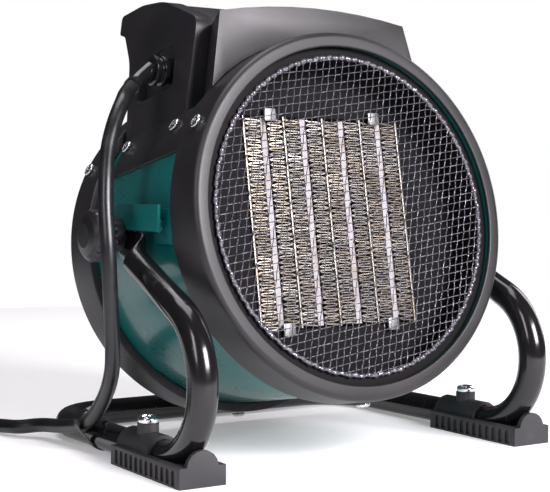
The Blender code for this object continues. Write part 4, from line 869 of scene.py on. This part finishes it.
def make_shell_and_rings():
    """Closed profiles of (radius, depth), carried round the drum's axis."""
    near, far = 2.8 * MM, DRUM_LENGTH - 2.8 * MM
    wall = [(SHELL_INSIDE, near, 0.2 * MM), (SHELL_INSIDE, far, 0.2 * MM)]
    wall += [(DRUM_RADIUS, far, 0.5 * MM), (DRUM_RADIUS, near, 0.5 * MM)]
    add_hoop("drum_shell_sheet", rounded_profile(wall, 3), "drum_paint", "drum_shell")
    # Painted shade: a near-black sheet just inside the teal shell, which darkens the drum's inside
    # where it is seen through the guard.
    shade_sheet = from_mm([(95.9, 10, 0), (95.9, 148, 0), (96.5, 148, 0), (96.5, 10, 0)])
    add_hoop("drum_inside_painted_shade", rounded_profile(shade_sheet), "dark_steel")
    inner = DRUM_RADIUS + GAP
    corners = [
        (OPENING_RADIUS, 0, 0.8 * MM),
        (RING_RADIUS, 0, 3.5 * MM),
        (RING_RADIUS, RING_DEPTH, 0.7 * MM),
        (inner, RING_DEPTH, 0.3 * MM),
        (inner, 2.5 * MM, 0.3 * MM),
        (OPENING_RADIUS, 2.5 * MM, 0.6 * MM),
    ]
    profile = rounded_profile(corners, 6)
    add_hoop("front_ring_moulding", profile, "black_plastic", "front_ring", steps=192)
    profile = profile * (1, -1) + (0, DRUM_LENGTH)
    add_hoop("rear_ring_moulding", profile, "black_plastic", "rear_ring", steps=192)


def woven_wires(step, run, sign):
    """The wires of one family, which lie a step apart and run to the rim.

    Wire i is the line i step + t run. Its depth swings by cos(pi (t + i)), one way or the other
    by sign, and it wanders a little to the side by a slow sine of t.
    """
    radius, along = sizes().wire_radius, run @ run
    numbers = np.arange(-40, 41)[:, None]
    base = numbers * step
    middle = -(base @ run)[:, None] / along
    gap = GUARD_REACH**2 - ((base + middle * run) ** 2).sum(axis=1)
    kept = gap > (9 * MM) ** 2
    base, middle, numbers = base[kept], middle[kept], numbers[kept]
    t = middle + np.sqrt(gap[kept] / along)[:, None] * np.linspace(-1, 1, 165)
    side = np.array((-run[1], run[0])) / math.sqrt(along)
    slack = 0.25 * MM * np.sin(numbers * 2.4) * np.sin(t * 0.31 + numbers)
    flat = base[:, None] + t[..., None] * run + slack[..., None] * side
    wave = sign * GUARD_SWING * np.cos(math.pi * (t + numbers))
    angle = np.arange(5) * TAU / 5
    x = flat[..., :1] + radius * np.cos(angle) * side[0]
    height = flat[..., 1:] + radius * np.cos(angle) * side[1]
    back = (GUARD_DEPTH + wave)[..., None] + radius * np.sin(angle)
    return [capped(tube) for tube in drum_place(np.stack([x, back, height], axis=-1))]


def rolled_rim():
    """A round fold carried about the drum's axis, pinched by sines of the angle round it."""
    around = (np.arange(900) * TAU / 900)[:, None]
    across = np.arange(10) * TAU / 10
    fold = (1.2 + 0.28 * np.sin(126 * around) + 0.15 * np.sin(37 * around)) * MM
    ring = 89.2 * MM + 0.25 * MM * np.sin(63 * around) + fold * np.cos(across)
    back = GUARD_DEPTH + 0.3 * MM * np.cos(126 * around) + fold * 0.8 * np.sin(across)
    return drum_place(np.stack([ring * np.sin(around), back, ring * np.cos(around)], axis=-1))


def make_guard():
    """A plain weave of two wire families with unit steps p and q, in a rolled rim."""
    pitch = sizes().weave_pitch
    p = pitch * np.array((math.cos(WEFT_SLOPE), math.sin(WEFT_SLOPE)))
    q = pitch * 1.02 * np.array((math.cos(WARP_SLOPE), math.sin(WARP_SLOPE)))
    add_piece("guard_warp", woven_wires(p, q, 1), "guard_wire", "drum")
    add_piece("guard_weft", woven_wires(q, p, -1), "guard_wire", "drum")
    add_piece(
        "guard_rim", [rolled_rim()], "guard_rim", "drum", "guard_mesh",
        angle=60, closed_rows=True,
    )
    carrier = from_mm([(88.2, 4.9, 0.3), (95.6, 4.9, 0.3), (95.6, 6.2, 0.3), (88.2, 6.2, 0.3)])
    add_hoop("guard_carrier", rounded_profile(carrier, 3), "dark_steel")


def fin_ribbon(left, right, seed):
    """A folded strip: x swings between left and right as a rounded triangle wave of the height.

    x = middle + half asin(0.985 sin(pi (t + 1/2))) / asin(0.985), and height = low +
    pitch (t + 0.95 sin(2 pi t) / 2 pi), so that the legs lie nearly level and the turns are steep.
    Each fold wanders a little by a seeded draw. The strip is a thin rectangle along that line.
    """
    pitch = sizes().fin_pitch
    folds = int(2 * (ELEMENT_RISE - FIN_MARGIN) / pitch)
    random = np.random.default_rng(seed)
    t = np.linspace(0, folds, folds * 8 + 1)
    wander = np.interp(t, np.arange(folds + 1), random.uniform(-1, 1, folds + 1))
    proud = np.interp(t, np.arange(folds + 1), random.uniform(-1, 1, folds + 1))
    half = (right - left) / 2 - 0.32 * MM
    swing = np.arcsin(0.985 * np.sin(math.pi * (t + 0.5))) / math.asin(0.985)
    x = (left + right) / 2 + half * swing
    level = t + 0.95 * np.sin(TAU * t) / TAU + 0.10 * wander * np.clip(folds - t, 0, 1)
    height = -ELEMENT_RISE + FIN_MARGIN + pitch * level
    tangent = np.stack([np.gradient(x), np.gradient(height)], axis=-1)
    tangent /= np.linalg.norm(tangent, axis=1, keepdims=True)
    normal = np.stack([-tangent[:, 1], tangent[:, 0]], axis=-1) * FIN_THICKNESS / 2
    front = ELEMENT_FRONT + 0.45 * MM + 0.3 * MM * proud
    back = np.full(len(t), ELEMENT_BACK)
    rows = [
        np.stack([x + sign * normal[:, 0], depth, height + sign * normal[:, 1]], axis=-1)
        for sign, depth in ((-1, front), (1, front), (1, back), (-1, back))
    ]
    return capped(drum_place(np.stack(rows, axis=1)))


def slab(left, right, front, back, low, high, radius=0.3 * MM):
    """A rounded rectangle of (x, depth) carried up from low to high, in the drum's own frame."""
    corners = [(left, front), (right, front), (right, back), (left, back)]
    outline = rounded_profile([(*corner, radius) for corner in corners], 3)
    centre = outline.mean(axis=0)
    rows = []
    for height, inset in ((low, radius), (low + radius, 0), (high - radius, 0), (high, radius)):
        ring = centre + (outline - centre) * (1 - inset / np.abs(outline - centre).max())
        rows.append(np.column_stack([ring, np.full(len(ring), height)]))
    return capped(drum_place(np.array(rows)))


def make_element():
    """Folded fins beside each ceramic strip, bright separators and the clips that hold them."""
    ribbons, plates, clips = [], [], []
    for i in range(4):
        stone = -ELEMENT_HALF + STRIP + FIN_WIDTH + i * ELEMENT_PITCH
        beyond = stone + STONE_WIDTH
        ribbons.append(fin_ribbon(stone - FIN_WIDTH, stone, 2 * i))
        ribbons.append(fin_ribbon(beyond, beyond + FIN_WIDTH, 2 * i + 1))
    banks = [f"fin_bank_{i}" for i in range(1, 6)]
    add_piece("fin_ribbons", ribbons, "fin_aluminium", "drum", banks, 40)
    front = ELEMENT_FRONT - 0.2 * MM
    for i in range(5):
        left = -ELEMENT_HALF + i * ELEMENT_PITCH
        plates.append(slab(left, left + STRIP, front, ELEMENT_BACK, -ELEMENT_RISE, ELEMENT_RISE))
    add_piece("fin_separators", plates, "fin_aluminium", "drum")
    for x in (-36 * MM, 36 * MM):
        for end in (-1, 1):
            low, high = sorted((end * (ELEMENT_RISE - 3 * MM), end * (ELEMENT_RISE + 4 * MM)))
            clips.append(slab(x - 4 * MM, x + 4 * MM, 24.8 * MM, 26 * MM, low, high, 0.5 * MM))
    add_piece("element_clips", clips, "steel", "drum")


def make_rear_grille():
    """Round bars in circles about the drum's axis, joined by spokes, in a flat rim."""
    depth = DRUM_LENGTH - 5.5 * MM
    around = (np.arange(160) * TAU / 160)[:, None]
    across = np.arange(10) * TAU / 10
    back = depth + 1.3 * MM * np.sin(across) + 0 * around
    grids = []
    for centre, width in [(r * MM, 1.3 * MM) for r in range(30, 90, 6)] + [(93.5 * MM, 2.6 * MM)]:
        ring = centre + width * np.cos(across)
        points = [ring * np.sin(around), back, ring * np.cos(around)]
        grid = drum_place(np.stack(points, axis=-1))
        grids.append(np.concatenate([grid, grid[:1]]))
    for angle in TAU * (np.arange(8) + 0.5) / 8:
        near, far = (
            np.array((math.sin(angle) * r, depth, math.cos(angle) * r)) for r in (24 * MM, 93 * MM)
        )
        path = drum_place(np.linspace(near, far, 12))
        grids.append(capped(swept(path, 1.45 * MM, 10)))
    hub = rounded_profile(from_mm([(0, -1.4, 0), (25, -1.4, 0.5), (24, 2, 1), (0, 2.4, 0)]))
    grids.append(turned_about_drum(hub + (0, depth), 96))
    add_piece("rear_grille_bars", grids, "black_plastic", "drum", "rear_grille")


# Console, controls and pivots


def make_console():
    """The console's mouldings and panel with their edges rounded, and two ribbed dials."""
    for node in ("console_body", "console_cap_left", "console_cap_right"):
        softened_copy(f"{node}_moulding", node, "black_plastic", "drum", 0.7 * MM)
    softened_copy("control_panel_moulding", "control_panel", "black_plastic", "drum", 0.4 * MM)
    axis = drum_direction((0, 1, 0))
    profile = rounded_profile(from_mm(DIAL_OUTLINE), 4)
    stem = rounded_profile(from_mm(STEM_OUTLINE), 2)
    grip = (18, rib_depths(profile, 4, 13, 5, 0.6))
    for name, x in (("thermostat_knob", -23 * MM), ("mode_switch_knob", 23 * MM)):
        origin = drum_place((x, 112.3 * MM, 111.25 * MM))
        dial = turned_about(profile, origin, axis, 144, grip)
        grids = [dial, turned_about(stem, origin, axis, 144)]
        add_piece(f"{name}_moulding", grids, "black_plastic", name, name)


def make_pivots():
    """Ribbed clamp knobs on the tilt axis, and the stop plates with their edges rounded."""
    ribs = sizes().knob_ribs
    profile = rounded_profile(from_mm(KNOB_OUTLINE))
    grip = (ribs, rib_depths(profile, 7.2, 18.4, 12, 1.1))
    for name, side in (("left", -1), ("right", 1)):
        knob, plate = f"clamp_knob_{name}", f"stop_plate_{name}"
        origin = PIVOT + np.array((side * 108.7 * MM, 0, 0))
        grids = [turned_about(profile, origin, (side, 0, 0), ribs * 10, grip)]
        add_piece(f"{knob}_moulding", grids, "knob_plastic", knob, knob)
        softened_copy(f"{plate}_sheet", plate, "drum_paint", "drum", 0.35 * MM)


def screw_grid(seat, outward, head, rise):
    """A pan head with a cross recess.

    Height = rise (1 - 0.16 (r/R)^2 - 0.30 (r/R)^6) less the depth of a cross, whose arms are
    products of two smooth steps, one across the arm and one along it.
    """
    share = np.concatenate([np.linspace(0, 0.72, 20), np.linspace(0.76, 1, 8)])[:, None]
    angle = np.arange(64) * TAU / 64
    u, v = share * np.cos(angle), share * np.sin(angle)

    def step(value, low, high):
        t = np.clip((value - low) / (high - low), 0, 1)
        return t * t * (3 - 2 * t)

    def arm(a, b):
        return step(-np.abs(b), -0.19, -0.09) * step(-np.abs(a), -0.66, -0.50)

    dome = rise * (1 - 0.16 * share**2 - 0.30 * share**6)
    height = dome - 0.55 * rise * np.maximum(arm(u, v), arm(v, u))
    side, up, along = basis(outward)
    top = u[..., None] * head * side + v[..., None] * head * up + height[..., None] * along
    rim = [np.cos(angle)[:, None] * side * head + np.sin(angle)[:, None] * up * head]
    bottom = [rim[0] + along * h for h in (rise * 0.42, rise * 0.16)] + [rim[0] * 0.96, rim[0] * 0]
    return np.asarray(seat) + np.concatenate([top, np.array(bottom)])


def make_screws():
    """Cross-recessed heads on the rings, the console's flanges, the stop plates and the feet."""
    for end, depth in (("front", RING_DEPTH / 2), ("rear", DRUM_LENGTH - RING_DEPTH / 2 + 4 * MM)):
        for side, degrees in (("left", 150), ("right", 30), ("bottom", 270)):
            a = math.radians(degrees)
            out = np.array((math.cos(a), 0, math.sin(a)))
            seat = drum_place(out * (RING_RADIUS + GAP) + (0, depth, 0))
            add_screw(f"{end}_ring_screw_{side}", seat, drum_direction(out), "drum")
    for side, name in ((-1, "left"), (1, "right")):
        out = np.array((-side * math.cos(FLANGE_ANGLE), 0, math.sin(FLANGE_ANGLE)))
        for end, depth in (("front", 52.4 * MM), ("rear", DRUM_LENGTH - 46.2 * MM)):
            seat = drum_place(out * 100.6 * MM + (0, depth, 0))
            add_screw(f"console_screw_{name}_{end}", seat, drum_direction(out), "drum")
        seat = PIVOT + np.array((side * 100.7, -33.5, 6)) * MM
        add_screw(f"stop_screw_{name}", seat, (side, 0, 0), "drum", finish="drum_paint")
        seat = np.array((side * LEG_X, BEND_Y + 18.3 * MM, 24.2 * MM))
        add_screw(f"foot_screw_{name}", seat, (0, 0, 1), "stand", 5.5 * MM, 4 * MM)


def add_screw(node, seat, outward, body, head=4 * MM, rise=2.4 * MM, finish="zinc"):
    grids = [screw_grid(seat, outward, head, rise)]
    add_piece(f"{node}_head", grids, finish, body, node, angle=50)


# Stand


def tube_centres():
    """The centre line of half of the stand, from a leg's free end to the crossbar's middle.

    It also gives each point's distance from the pivot along the leg, which is one metre where
    the leg has ended, and how many points come before the rear corner.
    """
    leg = np.array((0, -math.cos(LEG_SLOPE), -math.sin(LEG_SLOPE)))
    top = np.array((LEG_X, PIVOT[1], LEG_TOP_Z))
    leg_length = (PIVOT[1] - BEND_Y + FRONT_BEND * math.sin(LEG_SLOPE)) / math.cos(LEG_SLOPE)
    rounding = EYE_START - EYE_RADIUS * np.cos(np.linspace(0.0, math.pi / 2, 18))
    taper = np.arange(3, 32, 1.0) * MM
    marks = np.concatenate([rounding, taper, np.linspace(33 * MM, leg_length - 1 * MM, 12)])
    bend = np.linspace(math.pi / 2 + LEG_SLOPE, 3 * math.pi / 2, 40)
    bend_y, bend_z = BEND_Y + FRONT_BEND * np.cos(bend), BEND_Z + FRONT_BEND * np.sin(bend)
    corner = np.linspace(0, math.pi / 2, 26)
    corner_x = LEG_X - REAR_BEND + REAR_BEND * np.cos(corner)
    corner_y = CROSSBAR_Y - REAR_BEND + REAR_BEND * np.sin(corner)
    rail_y = np.linspace(BEND_Y, corner_y[0], 16)[1:-1]
    fall = (RAIL_Z - CROSSBAR_Z) / (CROSSBAR_Y - BEND_Y)
    rail_z, corner_z = (RAIL_Z - fall * (y - BEND_Y) for y in (rail_y, corner_y))
    front = np.column_stack([np.full(40, LEG_X), bend_y, bend_z])
    rail = np.column_stack([np.full(14, LEG_X), rail_y, rail_z])
    rear = np.column_stack([corner_x, corner_y, corner_z])
    straight = [top + marks[:, None] * leg, front, rail]
    half = np.concatenate([*straight, rear, [(0.03, CROSSBAR_Y, CROSSBAR_Z)]])
    from_pivot = np.concatenate([marks, np.full(len(half) - len(marks), 1.0)])
    return half, from_pivot, sum(map(len, straight))


def make_stand():
    """The bent tube: a superellipse section carried along legs, front bends, rails and crossbar.

    Each section point is p + |cos a|^n R1 across + sin a R2 up. Towards a leg's free end R1 falls
    and R2 grows by a smooth step, which flattens the tube, and R2 closes in a half circle.
    """
    radius = sizes().tube_radius
    half, from_pivot, straight = tube_centres()
    path = np.concatenate([half, half[::-1] * (-1, 1, 1)])
    from_pivot = np.concatenate([from_pivot, from_pivot[::-1]])
    ahead = np.gradient(path, axis=0)
    ahead /= np.linalg.norm(ahead, axis=1, keepdims=True)
    across = np.cross(ahead, (0, 0, 1.0))
    across[:straight] = (1, 0, 0)
    across[-straight:] = (-1, 0, 0)
    across /= np.linalg.norm(across, axis=1, keepdims=True)
    up = np.cross(across, ahead)
    flat = 1 - np.clip((from_pivot - 17 * MM) / (11 * MM), 0, 1)
    flat = flat * flat * (3 - 2 * flat)
    clear_of_stop = 0.45 * MM * np.clip((80 * MM - from_pivot) / (20 * MM), 0, 1)
    thin = radius + (FLAT_THICKNESS - radius) * flat - clear_of_stop * (1 - flat)
    wide = radius + (FLAT_WIDTH - radius) * flat - clear_of_stop
    past = np.clip(EYE_START - from_pivot, 0, EYE_RADIUS)
    eye = FLAT_WIDTH / EYE_RADIUS * np.sqrt(np.maximum(EYE_RADIUS**2 - past**2, 1e-12))
    wide = np.where(past > 0, eye, wide)
    shift = -(8 * MM - FLAT_THICKNESS) * flat
    angle = np.arange(40) * TAU / 40
    c, s = np.cos(angle), np.sin(angle)
    power = (1 - 0.55 * flat)[:, None]
    u = thin[:, None] * np.sign(c) * np.abs(c) ** power + shift[:, None]
    v = wide[:, None] * s
    grid = path[:, None] + u[..., None] * across[:, None] + v[..., None] * up[:, None]
    grids = [capped(grid)]
    add_piece("stand_tube_bent", grids, "black_enamel", "stand", "stand_tube", angle=40)


def make_feet():
    for side in ("left", "right"):
        softened_copy(f"foot_{side}_moulding", f"foot_{side}", "foot_rubber", "stand", 0.5 * MM)


CARRIED = {
    "ceramic_strip_1": "ceramic", "ceramic_strip_2": "ceramic", "ceramic_strip_3": "ceramic",
    "ceramic_strip_4": "ceramic", "terminal_block": "ceramic", "baffle_plate": "dark_steel",
    "element_frame": "black_plastic", "thermal_cutout": "steel", "fan_blade": "black_plastic",
    "fan_shaft": "steel", "fan_motor": "steel", "motor_bracket": "steel",
    "thermostat_body": "black_plastic", "mode_switch_body": "black_plastic",
    "pivot_stud_left": "zinc", "pivot_stud_right": "zinc", "cable_tie": "knob_plastic",
}


def finish_carried_nodes():
    """Gives the CAD nodes that stay visible their finish."""
    for node, finish in CARRIED.items():
        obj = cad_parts[node]
        if not obj.material_slots:
            obj.data.materials.append(None)
        for slot in obj.material_slots:
            slot.material = FINISHES[finish]


# Add-on


class HEATER_OT_stage(bpy.types.Operator):
    """Adds the camera, the lights, the pale room and the floor"""

    bl_idname = "heater.stage"
    bl_label = "Stage"

    def execute(self, context):
        make_camera()
        make_lights()
        make_world()
        make_floor()
        return {"FINISHED"}


class HEATER_OT_cord(bpy.types.Operator):
    """Adds the mains cord with its bushing, coil and plug"""

    bl_idname = "heater.cord"
    bl_label = "Mains Cord"

    def execute(self, context):
        make_cord()
        return {"FINISHED"}


class HEATER_OT_finishes(bpy.types.Operator):
    """Makes the finishes and gives them to the solids that stay visible"""

    bl_idname = "heater.finishes"
    bl_label = "Finishes"

    def execute(self, context):
        make_finishes()
        finish_carried_nodes()
        return {"FINISHED"}


class HEATER_OT_drum(bpy.types.Operator):
    """Adds the drum's sheet and its two rings"""

    bl_idname = "heater.drum"
    bl_label = "Drum and Rings"

    def execute(self, context):
        make_shell_and_rings()
        return {"FINISHED"}


class HEATER_OT_guard(bpy.types.Operator):
    """Adds the woven wire guard in its rolled rim"""

    bl_idname = "heater.guard"
    bl_label = "Woven Guard"

    def execute(self, context):
        make_guard()
        return {"FINISHED"}


class HEATER_OT_element(bpy.types.Operator):
    """Adds the heating element's folded fins, separators and clips"""

    bl_idname = "heater.element"
    bl_label = "Heating Element"

    def execute(self, context):
        make_element()
        return {"FINISHED"}


class HEATER_OT_grille(bpy.types.Operator):
    """Adds the rear grille's bars, spokes and hub"""

    bl_idname = "heater.grille"
    bl_label = "Rear Grille"

    def execute(self, context):
        make_rear_grille()
        return {"FINISHED"}


class HEATER_OT_console(bpy.types.Operator):
    """Adds the console's mouldings, its panel and its two dials"""

    bl_idname = "heater.console"
    bl_label = "Console and Dials"

    def execute(self, context):
        make_console()
        return {"FINISHED"}


class HEATER_OT_pivots(bpy.types.Operator):
    """Adds the clamp knobs and the stop plates"""

    bl_idname = "heater.pivots"
    bl_label = "Clamp Knobs and Stops"

    def execute(self, context):
        make_pivots()
        return {"FINISHED"}


class HEATER_OT_screws(bpy.types.Operator):
    """Adds the cross-recessed screw heads"""

    bl_idname = "heater.screws"
    bl_label = "Screws"

    def execute(self, context):
        make_screws()
        return {"FINISHED"}


class HEATER_OT_stand(bpy.types.Operator):
    """Adds the stand's bent tube and its feet"""

    bl_idname = "heater.stand"
    bl_label = "Stand and Feet"

    def execute(self, context):
        make_stand()
        make_feet()
        return {"FINISHED"}


OPERATORS = (
    HEATER_OT_finishes,
    HEATER_OT_stage,
    HEATER_OT_cord,
    HEATER_OT_drum,
    HEATER_OT_guard,
    HEATER_OT_element,
    HEATER_OT_grille,
    HEATER_OT_console,
    HEATER_OT_pivots,
    HEATER_OT_screws,
    HEATER_OT_stand,
)


class HEATER_PT_sidebar(bpy.types.Panel):
    """Lists the heater's pieces, sizes and colours"""

    bl_idname = "HEATER_PT_sidebar"
    bl_label = "Ceramic Space Heater"
    bl_space_type = "VIEW_3D"
    bl_region_type = "UI"
    bl_category = "Heater"

    def draw(self, context):
        layout = self.layout
        for group in (context.scene.heater_sizes, context.scene.heater_colours):
            column = layout.column(align=True)
            for name in group.bl_rna.properties.keys():
                if name not in ("rna_type", "name"):
                    column.prop(group, name)
        column = layout.column(align=True)
        for kind in OPERATORS:
            column.operator(kind.bl_idname)


CLASSES = (HeaterSizes, HeaterColours, *OPERATORS, HEATER_PT_sidebar)


def register():
    for kind in CLASSES:
        bpy.utils.register_class(kind)
    bpy.types.Scene.heater_sizes = PointerProperty(type=HeaterSizes)
    bpy.types.Scene.heater_colours = PointerProperty(type=HeaterColours)


def unregister():
    del bpy.types.Scene.heater_colours
    del bpy.types.Scene.heater_sizes
    for kind in reversed(CLASSES):
        bpy.utils.unregister_class(kind)


def main():
    """Registers the add-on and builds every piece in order."""
    register()
    for kind in OPERATORS:
        group, name = kind.bl_idname.split(".")
        getattr(getattr(bpy.ops, group), name)()


if __name__ == "__main__":
    main()
